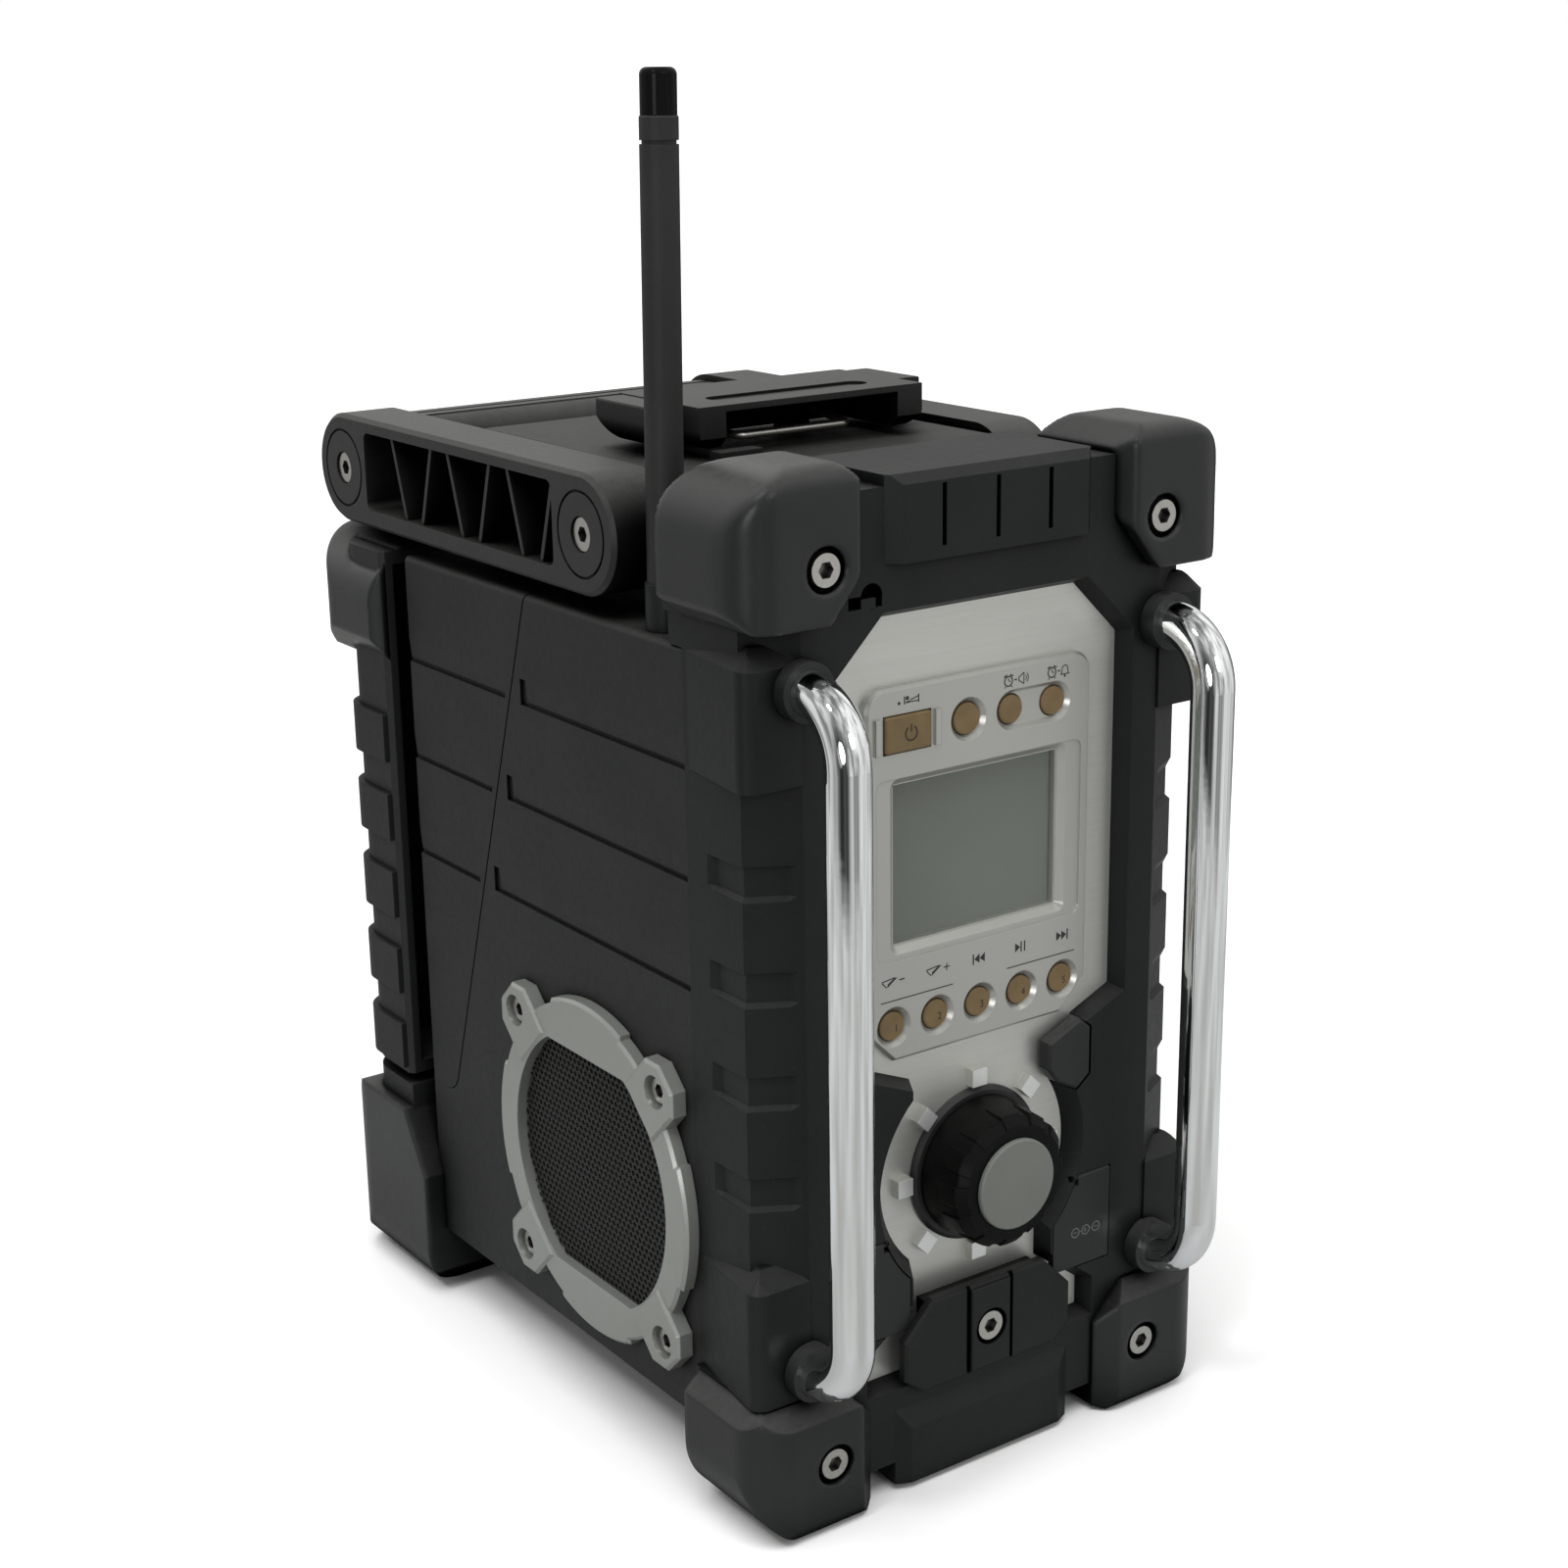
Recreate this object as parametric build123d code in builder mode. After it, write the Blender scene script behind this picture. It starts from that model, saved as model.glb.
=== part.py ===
from build123d import *
import os
from math import atan2, cos, degrees, radians, sin

os.makedirs("parts", exist_ok=True)

# Jobsite radio: a portable mains and battery radio in a guarded, rubber-cornered housing.
# Millimetres. X runs to the right seen from the front, Y to the rear and Z up, with the
# origin on the ground under the middle of the radio. Handed pieces are made on the right
# and mirrored to the left.

# Fits
running = 0.05  # radial play of a pin or shaft in its bore
gap = 0.3  # between pieces that move past one another
seam = 0.6  # open line between the two housing shells

# Main housing, the tub with the speakers and the electronics
housing_width = 149.0
housing_front = -72.0
housing_rear = 79.0
housing_floor = 22.5
housing_top = 243.3
housing_wall = 3.0
seam_top_y = 7.5
seam_foot_y = 64.4
seam_foot_z = 74.0
seam_corner = 8.0
groove_lowest = 150.5
groove_pitch = 30.5
groove_count = 3
groove_width = 1.3
groove_depth = 1.0
groove_end = 3.0
shingle_height = 7.0  # the shallow slope that leads down into each groove
shingle_depth = 0.6
top_edge_round = 2.0

# Battery box and the sill under its door
neck_half = 69.5
neck_wall = 4.0
neck_top = 240.0
rim_front = 88.0
rim_rear = 118.0
rim_half = 78.0
rim_corner = 12.0
sill_bottom = 34.0
sill_top = 69.5
battery_front = 42.0
battery_floor = 78.0
battery_roof = 237.0
terminal_width = 58.0
terminal_height = 46.0
terminal_base = 8.0
terminal_reach = 7.5
terminal_rail_x = 20.0
terminal_rail_width = 8.0
terminal_rail_height = 40.0
blade_pitch = 8.0
blade_height = 22.0
blade_thickness = 1.2

# Battery door
door_bottom = 73.0
door_top = 243.0
door_wall = 4.0
door_edge_bevel = 1.5
door_bumper_bevel = 3.0
door_axis_y = 116.0
door_axis_z = 72.0
door_pin_radius = 1.5
knuckle_radius = 3.5
knuckle_inner = 20.0
knuckle_length = 14.0
tread_proud = 1.5
tread_height = 15.0
tread_pitch = 25.5
tread_first = 177.0
tread_count = 5
door_bumper_proud = 12.5
door_bumper_bottom = 208.0
door_bumper_top = 246.0

# Front frame
frame_face = -104.0
frame_half = 76.0
frame_bottom = 9.0
frame_top = 284.0
frame_pocket_half = 53.0
frame_pocket_bottom = 20.0
frame_pocket_top = 256.0
frame_foot_bevel = 6.0
collar_seat = 3.0
top_box_rear = -66.0
top_box_bevel = 8.0
strip_inner = 60.4
strip_corner_half = 74.0
strip_corner_y = -96.4
strip_bottom = 40.4
shoulder_half = 78.6
shoulder_face = -104.6
shoulder_rear = -74.0
shoulder_corner = 4.0
shoulder_slope = 5.0
upper_shoulder_bottom = 211.8
upper_shoulder_top = 248.0
lower_shoulder_top = 79.5
tread_mark_height = 8.2
tread_mark_top = 2.6
tread_mark_foot = 1.3
tread_mark_rear = -80.8
tread_mark_end = 3.0
tread_mark_pitch = 28.7
tread_mark_first = 182.4
tread_mark_count = 4
tread_mark_depth = 1.2
band_half = 34.3
band_face = -107.5
band_bottom = 264.5
band_top = 287.0
band_groove_spacing = 17.7
band_groove_width = 1.4
band_groove_length = 16.0
band_groove_depth = 1.6
band_bevel = 3.5
band_overhang = 1.5
eye_x = -38.3
eye_z = 256.8
eye_radius = 3.4
eye_slot_length = 10.6
eye_slot_height = 3.2
eye_tab = 4.6
eye_slot_shift = 2.0
eye_slot_drop = 1.2
eye_tab_drop = 1.8
eye_depth = 4.0
bottom_bar_half = 31.5
bottom_bar_face = -106.0
bottom_bar_bottom = 2.0
bottom_bar_shoulder = 19.0
bottom_bar_top = 25.0
bottom_bar_facet = 4.5
bottom_bar_depth = 26.0
bottom_bar_lift = 2.0

# Corner bumpers
bumper_side_proud = 3.5
bumper_front_proud = 6.0
bumper_inner = 43.0
bumper_plan_corner = 12.0
upper_bumper_bottom = 252.5
upper_bumper_top = 292.0
upper_bumper_rear = -71.0
upper_bumper_round = 19.0
bumper_bevel = 5.0
bumper_crest = 6.5
bumper_low_run = 12.0
bumper_low_rise = 15.0
bumper_edge_round = 6.0
bumper_back_round = 12.0
foot_inner_step = 2.0
foot_inner_slope = 11.0
foot_bevel = 5.0
foot_plan_bevel = 4.0
rear_foot_base_bevel = 8.0
rear_foot_top_slope = 12.0
rear_foot_back_slope = 18.0
lower_bumper_top = 40.0
lower_bumper_rear = -74.0
lower_bumper_round = 20.0
rear_foot_front = 76.0
rear_foot_inner = 46.0
rear_foot_top = 62.0

# Socket screws of the bumpers
screw_x = 56.25
upper_screw_z = 266.7
lower_screw_z = 20.3
screw_head_radius = 4.3
screw_head_height = 3.4
screw_shank_radius = 2.0
screw_length = 12.0
socket_across = 4.0
socket_depth = 2.2
counterbore_radius = 6.0
counterbore_depth = 1.6
screw_head_proud = 1.5

# Front plate and what shows in it
panel_face = -99.0
panel_thickness = 2.0
panel_top = 249.8
panel_top_half = 33.4
panel_half = 48.9
panel_shoulder_z = 234.5
panel_waist_z = 132.0
panel_neck_half = 22.7
panel_neck_top = 120.8
panel_foot_half = 38.8
panel_foot_z = 42.7
panel_bottom = 34.0
knob_z = 90.2
knob_bay_radius = 32.5
knob_bay_mouth = 36.5
lip_lean = 25.0  # degrees that the frame's lip slopes in towards the plate
bezel_face = -101.5
bezel_half = 38.4
bezel_top = 231.3
bezel_bottom = 128.2
bezel_corner = 6.0
bezel_bevel = 9.0
window_half = 28.0
window_bottom = 160.4
window_top = 204.4
lens_thickness = 1.2
ledge_half = 35.2
ledge_bottom = 156.7
ledge_top = 206.8
ledge_depth = 0.5
rim_width = 2.2
rim_slope = 45.0
module_half = 38.0
module_margin = 8.0
board_front = -91.6
board_thickness = 1.6
board_half = 44.0
board_bottom = 62.0
board_top = 230.0

# Buttons
button_travel = 1.0
button_rear = -95.6
preset_z = 138.2
preset_pitch = 14.8
preset_count = 5
preset_radius = 4.1
dish_margin = 1.6
dish_depth = 1.4
dish_slope = 40.0  # degrees
upper_row_z = 218.8
source_x = -4.5
source_radius = 4.4
alarm_xs = (10.6, 25.4)
alarm_radius = 4.0
power_x = -25.0
power_width = 15.2
power_height = 9.8
power_bar_width = 1.8
round_button_face = -100.8
power_button_face = -102.2
menu_face = -104.3
menu_stem_radius = 3.0

# Tuning knob
knob_face = -117.0
knob_rear = -101.3
knob_radius = 18.6
knob_skirt_radius = 20.2
knob_bevel = 2.5
pad_count = 12
pad_width = 6.0
pad_length = 7.0
pad_proud = 0.7
pad_rear = 6.5
cap_radius = 13.0
cap_seat = 2.5
cap_face = -118.4
shaft_radius = 3.0
bushing_radius = 4.5
dial_ring_radius = 22.5
dial_ring_bore = 6.0
dial_ring_face = -101.0
index_count = 8
index_size = 5.0
index_radius = 26.0
index_face = -102.0

# Jack covers
cover_inner_x = 26.0
cover_outer_x = 47.0
cover_bottom = 49.0
cover_axis_z = 76.5
cover_thickness = 2.2
cover_pin_radius = 0.8
cover_pin_length = 1.5
cover_arc_radius = 37.0
jack_x = 38.0
jack_z = 63.0
jack_body_radius = 5.2
dc_bore_radius = 2.9
aux_bore_radius = 1.8
dc_tip_radius = 1.0
jack_depth = 12.0

# Guard block under the knob
block_face = -107.0
block_top = 56.8
block_top_half = 20.0
block_half = 30.0
block_shoulder_z = 46.5
block_low_z = 34.5
block_bottom = 29.5
block_bottom_half = 23.5
block_groove_x = 7.7
block_groove_width = 1.4
pillar_proud = 0.8
block_screw_seat = 2.5
block_screw_z = 42.8

# Chrome guard bars
bar_radius = 6.0
bar_x = 61.4
bar_y = -124.6
bar_bend = 16.0
bar_upper_z = 236.7
bar_lower_z = 48.8
bar_socket_depth = 8.0
collar_radius = 7.8
collar_length = 5.0

# Speakers
speaker_y = -22.2
speaker_z = 80.6
ring_radius = 49.5
ring_height = 4.2
ring_lobe = 1.3
ring_lobe_arc = 22.0
lug_height = 5.0
lug_offset = 37.7
lug_width = 19.0
lug_end_radius = 60.5
lug_end_chamfer = 5.0
mesh_radius = 40.5
mesh_chord = 35.0
mesh_thickness = 1.2
driver_flange_radius = 44.0
driver_depth = 34.0
cone_radius = 36.0
magnet_radius = 24.0
magnet_length = 12.0
speaker_screw_head_radius = 3.6
speaker_counterbore_radius = 4.8

# Top deck and latch lever
deck_half = 54.0
deck_front = -66.0
deck_rear = 66.0
deck_top = 281.0
deck_wall = 3.0
deck_edge = 1.5
clip_x = -29.0
clip_width = 14.0
clip_depth = 5.0
clip_height = 3.0
clip_gap = 1.5
pivot_seat = 10.0
pivot_bore = 14.0
lever_axis_y = 8.0
lever_axis_z = 290.0
lever_half = 38.3
lever_front = -28.0
lever_rear = 13.6
lever_top = 295.6
lever_bottom = 283.8
lever_plate = 1.8
lever_wing_half = 47.5
lever_wing_front = -15.0
lever_wing_rear = 10.0
cheek_round = 5.0
wing_round = 6.5
wing_rise = 0.4
wing_drop = 0.3
lever_channel_half = 29.5
lever_pin_radius = 1.5
lever_lug_wall = 2.0
lever_room = 8.0  # clear of the lugs in front of the pin
lever_slot_length = 54.0
lever_slot_width = 8.0
lever_slot_depth = 0.9
lever_edge = 3.0
wing_bevel = 6.5
lug_x = 18.0
lug_length = 8.0
wire_radius = 1.2
wire_half = 19.5
wire_y = -18.0

# Carrying handle
arm_outer = 76.5
arm_inner = 58.0
arm_drop = 15.2
arm_radius = 16.6
pivot_y = -27.5
grip_y = 112.3
window_front_y = -12.9
window_rear_y = 97.7
window_low_z = 254.8
window_high_z = 278.3
rib_thickness = 1.6
rib_lean = 8.0  # how far a rib's top stands from its foot
rib_first = 78.0
rib_pitch = 34.4
rib_pairs = 3
rib_recess = 1.2
arm_bevel = 1.2
boss_radius = 12.0
boss_groove = 0.8
boss_step = 0.6
pivot_bolt_radius = 4.0
bolt_head_radius = 4.6
bolt_head_height = 3.0
grip_depth = 25.0
grip_height = 27.0
grip_offset = -1.5
grip_groove_radius = 0.9
grip_groove_pitch = 6.0
grip_bolt_hold = 20.0

# Antenna
antenna_x = -66.0
antenna_y = -52.4
antenna_radius = 5.0
antenna_tip = 384.7
antenna_lean = 0.8  # degrees that the flexible mast leans to the right
antenna_cap_radius = 4.7
antenna_cap_length = 11.5
antenna_foot_radius = 5.6
antenna_foot_top = 256.0
antenna_plug = 4.0
antenna_ring_drop = 7.0
antenna_ring_depth = 0.6
antenna_ring_width = 1.0

housing_half = housing_width / 2
door_bumper_reach = rim_rear + door_bumper_proud
bumper_half = rim_half + bumper_side_proud
bumper_face = frame_face - bumper_front_proud
arm_z = deck_top - arm_drop
wall_inner = housing_half - housing_wall


def facing(y):
    """Sketch plane seen from the front, at depth y; a positive extrude comes forward."""
    return Plane.XZ.offset(-y)


def across(x):
    """Sketch plane seen from the right-hand side, at x; a positive extrude goes right."""
    return Plane.YZ.offset(x)


def corner(sketch, point):
    """The vertex of a sketch or face nearest to a point of the sketch's own plane."""
    return sketch.vertices().sort_by_distance(point)[0]


def save(shape, name):
    """Label one finished piece and write it."""
    shape.label = name
    export_step(shape, f"parts/{name}.step")


def save_pair(shape, name):
    """Write a right-hand piece and its mirror image."""
    save(shape, f"{name}_right")
    save(mirror(shape, about=Plane.YZ), f"{name}_left")


def seam_y(z):
    """Y of the slanted seam between the two housing shells, at height z."""
    slope = (seam_foot_y - seam_top_y) / (housing_top - seam_foot_z)
    return seam_top_y + (housing_top - z) * slope


def shingle_section(side, z):
    """Section of the slope above a side groove at height z, from the wall's own face inwards."""
    return (
        (side * (housing_half + 1), z),
        (side * (housing_half + 1), z + shingle_height),
        (side * housing_half, z + shingle_height),
        (side * (housing_half - shingle_depth), z),
    )


groove_heights = [groove_lowest + i * groove_pitch for i in range(groove_count)]
front_screws_xz = [(x, z) for x in (-screw_x, screw_x) for z in (lower_screw_z, upper_screw_z)]
lug_screw_radius = lug_offset * 2**0.5

# ---------------------------------------------------------------- main housing
# A tub, open to the front, whose rear wall slants along the seam. The sill behind it
# carries the fixed half of the battery door's hinge.
shelf = seam_foot_z - housing_wall
knuckle_outer = knuckle_inner + knuckle_length
door_knuckle_end = knuckle_outer + gap + knuckle_length
with BuildPart() as tub_core:
    with BuildSketch(across(-housing_half)) as tub_side:
        Polygon(
            (housing_front, housing_floor),
            (housing_rear, housing_floor),
            (housing_rear, seam_foot_z),
            (seam_foot_y, seam_foot_z),
            (seam_top_y, housing_top),
            (housing_front, housing_top),
            align=None,
        )
        fillet(corner(tub_side, (seam_foot_y, seam_foot_z)), seam_corner)
    extrude(amount=housing_width)
    fillet(tub_core.edges().filter_by(Axis.Y).group_by(Axis.Z)[-1], top_edge_round)
    with BuildSketch(Plane.XY.offset(sill_bottom)) as sill_plan:
        with Locations(((0, (housing_rear + rim_rear) / 2))):
            Rectangle(2 * neck_half, rim_rear - housing_rear)
        with Locations((0, (rim_front + rim_rear) / 2)):
            Rectangle(2 * rim_half, rim_rear - rim_front)
        fillet(corner(sill_plan, (rim_half, rim_rear)), rim_corner)
        fillet(corner(sill_plan, (-rim_half, rim_rear)), rim_corner)
    extrude(amount=sill_top - sill_bottom)

with BuildPart() as main_housing:
    add(tub_core.part)
    with BuildSketch(across(-wall_inner)):
        Polygon(
            (housing_front, housing_floor + housing_wall),
            (housing_rear - housing_wall, housing_floor + housing_wall),
            (housing_rear - housing_wall, shelf),
            (seam_y(shelf) - 2 * housing_wall, shelf),
            (seam_y(housing_top) - 2 * housing_wall, housing_top - housing_wall),
            (housing_front, housing_top - housing_wall),
            align=None,
        )
    extrude(amount=2 * wall_inner, mode=Mode.SUBTRACT)
    with BuildSketch(across(-housing_half)):
        with Locations((speaker_y, speaker_z)):
            Circle(cone_radius + 2)
            with PolarLocations(lug_screw_radius, 4, start_angle=45):
                Circle(screw_shank_radius + 0.1)
    extrude(amount=housing_width, mode=Mode.SUBTRACT)
    for side in (-1, 1):
        for z in groove_heights:
            start = housing_front
            end = seam_y(z) - 2 * groove_end
            with BuildSketch(across(side * housing_half)):
                with Locations(((start + end) / 2, z)):
                    Rectangle(end - start, groove_width)
                with Locations((end - groove_end / 2, z + shingle_height / 2)):
                    Rectangle(groove_end, shingle_height)
            extrude(amount=-side * groove_depth, mode=Mode.SUBTRACT)
            with BuildSketch(facing(end)):
                Polygon(*shingle_section(side, z), align=None)
            extrude(amount=end - start, mode=Mode.SUBTRACT)
    with BuildSketch(across(0)):
        with Locations((door_axis_y, door_axis_z)):
            Circle(knuckle_radius)
        web_front = door_axis_y - knuckle_radius
        with Locations(((web_front + rim_rear) / 2, (door_axis_z + sill_top) / 2 - 1)):
            Rectangle(rim_rear - web_front, door_axis_z - sill_top + 2)
    extrude(amount=knuckle_outer, both=True)
    with BuildSketch(across(0)):
        with Locations((door_axis_y, door_axis_z)):
            Circle(knuckle_radius + gap)
    extrude(amount=knuckle_inner, both=True, mode=Mode.SUBTRACT)
    for side in (-1, 1):
        with BuildSketch(across(side * knuckle_outer)):
            with Locations((door_axis_y, door_axis_z)):
                Circle(knuckle_radius + gap)
        extrude(amount=side * (knuckle_length + 2 * gap), mode=Mode.SUBTRACT)
    with BuildSketch(across(0)):
        with Locations((door_axis_y, door_axis_z)):
            Circle(door_pin_radius)
    extrude(amount=knuckle_outer, both=True, mode=Mode.SUBTRACT)
save(main_housing.part, "main_housing")

# ---------------------------------------------------------------- battery box
# The shell behind the seam: a box open to the rear, with a neck that the door shuts on.
neck_inner = neck_half - neck_wall
box_wall = 5.0
with BuildPart() as rear_housing:
    with BuildSketch(across(-housing_half)) as box_side:
        Polygon(
            (seam_foot_y + seam, seam_foot_z),
            (housing_rear, seam_foot_z),
            (housing_rear, housing_top),
            (seam_top_y + seam, housing_top),
            align=None,
        )
        fillet(corner(box_side, (seam_foot_y + seam, seam_foot_z)), seam_corner)
    extrude(amount=housing_width)
    fillet(rear_housing.edges().filter_by(Axis.Y).group_by(Axis.Z)[-1], top_edge_round)
    with BuildSketch(across(-neck_half)):
        with Locations(((housing_rear + rim_front) / 2, (seam_foot_z + neck_top) / 2)):
            Rectangle(rim_front - housing_rear, neck_top - seam_foot_z)
    extrude(amount=2 * neck_half)
    with BuildSketch(across(-neck_inner)):
        slant_y = seam_y(battery_floor) + seam + box_wall
        knee_z = battery_floor + (slant_y - battery_front) * (housing_top - seam_foot_z) / (
            seam_foot_y - seam_top_y
        )
        Polygon(
            (rim_front, battery_floor),
            (rim_front, battery_roof),
            (battery_front, battery_roof),
            (battery_front, knee_z),
            (slant_y, battery_floor),
            align=None,
        )
    extrude(amount=2 * neck_inner, mode=Mode.SUBTRACT)
    for side in (-1, 1):
        for z in groove_heights:
            start = seam_y(z) + groove_end
            with BuildSketch(across(side * housing_half)):
                with Locations(((start + housing_rear) / 2, z)):
                    Rectangle(housing_rear - start, groove_width)
            extrude(amount=-side * groove_depth, mode=Mode.SUBTRACT)
            with BuildSketch(facing(housing_rear)):
                Polygon(*shingle_section(side, z), align=None)
            extrude(amount=housing_rear - start, mode=Mode.SUBTRACT)
save(rear_housing.part, "rear_housing")

with BuildPart() as battery_terminals:
    with BuildSketch(facing(battery_front)):
        with Locations((0, (knee_z + battery_roof) / 2)):
            Rectangle(terminal_width, terminal_height)
    extrude(amount=-terminal_base)
    with BuildSketch(facing(battery_front + terminal_base)):
        for x in (-terminal_rail_x, terminal_rail_x):
            with Locations((x, (knee_z + battery_roof) / 2)):
                Rectangle(terminal_rail_width, terminal_rail_height)
    extrude(amount=-terminal_reach)
    with BuildSketch(facing(battery_front + terminal_base)):
        for x in (-blade_pitch, 0, blade_pitch):
            with Locations((x, (knee_z + battery_roof) / 2)):
                Rectangle(blade_thickness, blade_height)
    extrude(amount=-terminal_reach)
save(battery_terminals.part, "battery_terminals")

# ---------------------------------------------------------------- battery door
# The whole rear wall with its rim; it tips back on the pin at its foot.
with BuildPart() as battery_door:
    door_front = rim_front + gap
    with BuildSketch(Plane.XY.offset(door_bottom)) as door_plan:
        with Locations((0, (door_front + rim_rear) / 2)):
            Rectangle(2 * rim_half, rim_rear - door_front)
        fillet(corner(door_plan, (rim_half, rim_rear)), rim_corner)
        fillet(corner(door_plan, (-rim_half, rim_rear)), rim_corner)
        chamfer(corner(door_plan, (rim_half, door_front)), door_edge_bevel)
        chamfer(corner(door_plan, (-rim_half, door_front)), door_edge_bevel)
    extrude(amount=door_top - door_bottom)
    with BuildSketch(Plane.XY.offset(door_bottom)) as tread_plan:
        tread_rear = rim_rear + tread_proud
        tread_half = rim_half + tread_proud
        with Locations((0, (door_front + tread_rear) / 2 + 1)):
            Rectangle(2 * tread_half, tread_rear - door_front - 2)
        with Locations((0, door_front)):
            Rectangle(2 * 48, 4 * (tread_rear - door_front), mode=Mode.SUBTRACT)
        fillet(corner(tread_plan, (tread_half, tread_rear)), rim_corner)
        fillet(corner(tread_plan, (-tread_half, tread_rear)), rim_corner)
    for i in range(tread_count):
        extrude(
            tread_plan.sketch.moved(Location((0, 0, tread_first - i * tread_pitch - door_bottom))),
            amount=tread_height,
        )
    with BuildSketch(facing(door_front)):
        with Locations((0, (door_bottom + door_top) / 2)):
            Rectangle(2 * (rim_half - door_wall), door_top - door_bottom - 2 * door_wall)
    extrude(amount=-(rim_rear - door_front - door_wall), mode=Mode.SUBTRACT)
    for side in (-1, 1):
        with BuildSketch(across(side * (knuckle_outer + gap))):
            with Locations((door_axis_y, door_axis_z)):
                Circle(knuckle_radius)
        extrude(amount=side * knuckle_length)
        with BuildSketch(across(side * (knuckle_inner - gap))):
            with Locations((door_axis_y, door_axis_z)):
                Circle(knuckle_radius + gap)
        extrude(amount=side * (knuckle_length + 2 * gap), mode=Mode.SUBTRACT)
    with BuildSketch(across(0)):
        with Locations((door_axis_y, door_axis_z)):
            Circle(door_pin_radius + running)
    extrude(amount=door_knuckle_end, both=True, mode=Mode.SUBTRACT)
save(battery_door.part, "battery_door")

with BuildPart() as door_bumper:
    with BuildSketch(facing(door_bumper_reach)) as bumper_rear:
        Polygon(
            (rear_foot_inner, door_bumper_top),
            (bumper_half, door_bumper_top),
            (bumper_half, door_bumper_bottom + 8),
            (bumper_half - 6, door_bumper_bottom),
            (rear_foot_inner + 8, door_bumper_bottom),
            (rear_foot_inner, door_bumper_bottom + 8),
            align=None,
        )
        fillet(corner(bumper_rear, (bumper_half, door_bumper_top)), upper_bumper_round)
    extrude(amount=door_bumper_reach - door_front)
    with BuildSketch(Plane.XY.offset(door_bumper_bottom)) as bumper_plan:
        Polygon(
            (rear_foot_inner, door_front),
            (bumper_half - door_bumper_bevel, door_front),
            (bumper_half, door_front + door_bumper_bevel),
            (bumper_half, door_bumper_reach),
            (rear_foot_inner + 6, door_bumper_reach),
            (rear_foot_inner, door_bumper_reach - 6),
            align=None,
        )
        fillet(corner(bumper_plan, (bumper_half, door_bumper_reach)), bumper_plan_corner + 3)
    extrude(amount=door_bumper_top - door_bumper_bottom, mode=Mode.INTERSECT)
    extrude(door_plan.sketch, amount=door_top - door_bottom, mode=Mode.SUBTRACT)
save_pair(door_bumper.part, "door_bumper")

# ---------------------------------------------------------------- top deck
with BuildPart() as top_deck:
    with BuildSketch(Plane.XY.offset(housing_top)) as deck_plan:
        with Locations((0, (deck_front + deck_rear) / 2)):
            RectangleRounded(2 * deck_half, deck_rear - deck_front, 2)
    extrude(amount=deck_top - housing_top)
    fillet(top_deck.faces().sort_by(Axis.Z)[-1].edges().filter_by(Axis.Y), deck_edge)
    with BuildSketch(Plane.XY.offset(housing_top)):
        with Locations((0, (deck_front + deck_rear) / 2)):
            Rectangle(2 * (deck_half - deck_wall), deck_rear - deck_front - 2 * deck_wall)
    extrude(amount=deck_top - housing_top - deck_wall, mode=Mode.SUBTRACT)
    for side in (-1, 1):
        with BuildSketch(across(side * deck_half)):
            with Locations((pivot_y, arm_z)):
                Circle(boss_radius)
        extrude(amount=side * (arm_inner - gap - deck_half))
        with BuildSketch(across(side * (deck_half - deck_wall))):
            with Locations((pivot_y, arm_z)):
                Circle(pivot_bolt_radius + deck_wall)
        extrude(amount=-side * pivot_seat)
        with BuildSketch(across(side * (arm_inner - gap))):
            with Locations((pivot_y, arm_z)):
                Circle(pivot_bolt_radius)
        extrude(amount=-side * pivot_bore, mode=Mode.SUBTRACT)
    for x in (-lug_x, lug_x):
        with BuildSketch(across(x - lug_length / 2)):
            with Locations((lever_axis_y, lever_axis_z)):
                Circle(lever_pin_radius + lever_lug_wall)
            with Locations((lever_axis_y, (deck_top - 1 + lever_axis_z) / 2)):
                Rectangle(2 * (lever_pin_radius + lever_lug_wall), lever_axis_z - deck_top + 1)
            with Locations((lever_axis_y, lever_axis_z)):
                Circle(lever_pin_radius, mode=Mode.SUBTRACT)
        extrude(amount=lug_length)
    with BuildSketch(Plane.XY.offset(deck_top)):
        with Locations((clip_x, lever_front - clip_gap - clip_depth / 2)):
            Rectangle(clip_width, clip_depth)
    extrude(amount=clip_height)
save(top_deck.part, "top_deck")

# ---------------------------------------------------------------- latch lever
# A shallow hood that turns on a pin behind its middle; the wire catches under the clip.
slot_half = lug_length / 2 + gap
with BuildPart() as lever_wings:
    with BuildSketch(across(-lever_wing_half)):
        Polygon(
            (lever_wing_front, lever_bottom + wing_rise),
            (lever_wing_front, lever_top - wing_drop),
            (lever_wing_rear, lever_top - wing_drop),
            (lever_wing_rear, lever_bottom + wing_bevel),
            (lever_wing_rear - wing_bevel, lever_bottom + wing_rise),
            align=None,
        )
    extrude(amount=2 * lever_wing_half)
    with BuildSketch(facing(lever_wing_rear + 1)) as wing_front:
        with Locations((0, (lever_bottom + lever_top) / 2)):
            Rectangle(2 * lever_wing_half, lever_top - lever_bottom)
        for half in (-lever_wing_half, lever_wing_half):
            fillet(corner(wing_front, (half, lever_bottom)), wing_round)
            fillet(corner(wing_front, (half, lever_top)), 1)
    extrude(amount=lever_wing_rear + 2 - lever_wing_front, mode=Mode.INTERSECT)

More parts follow.
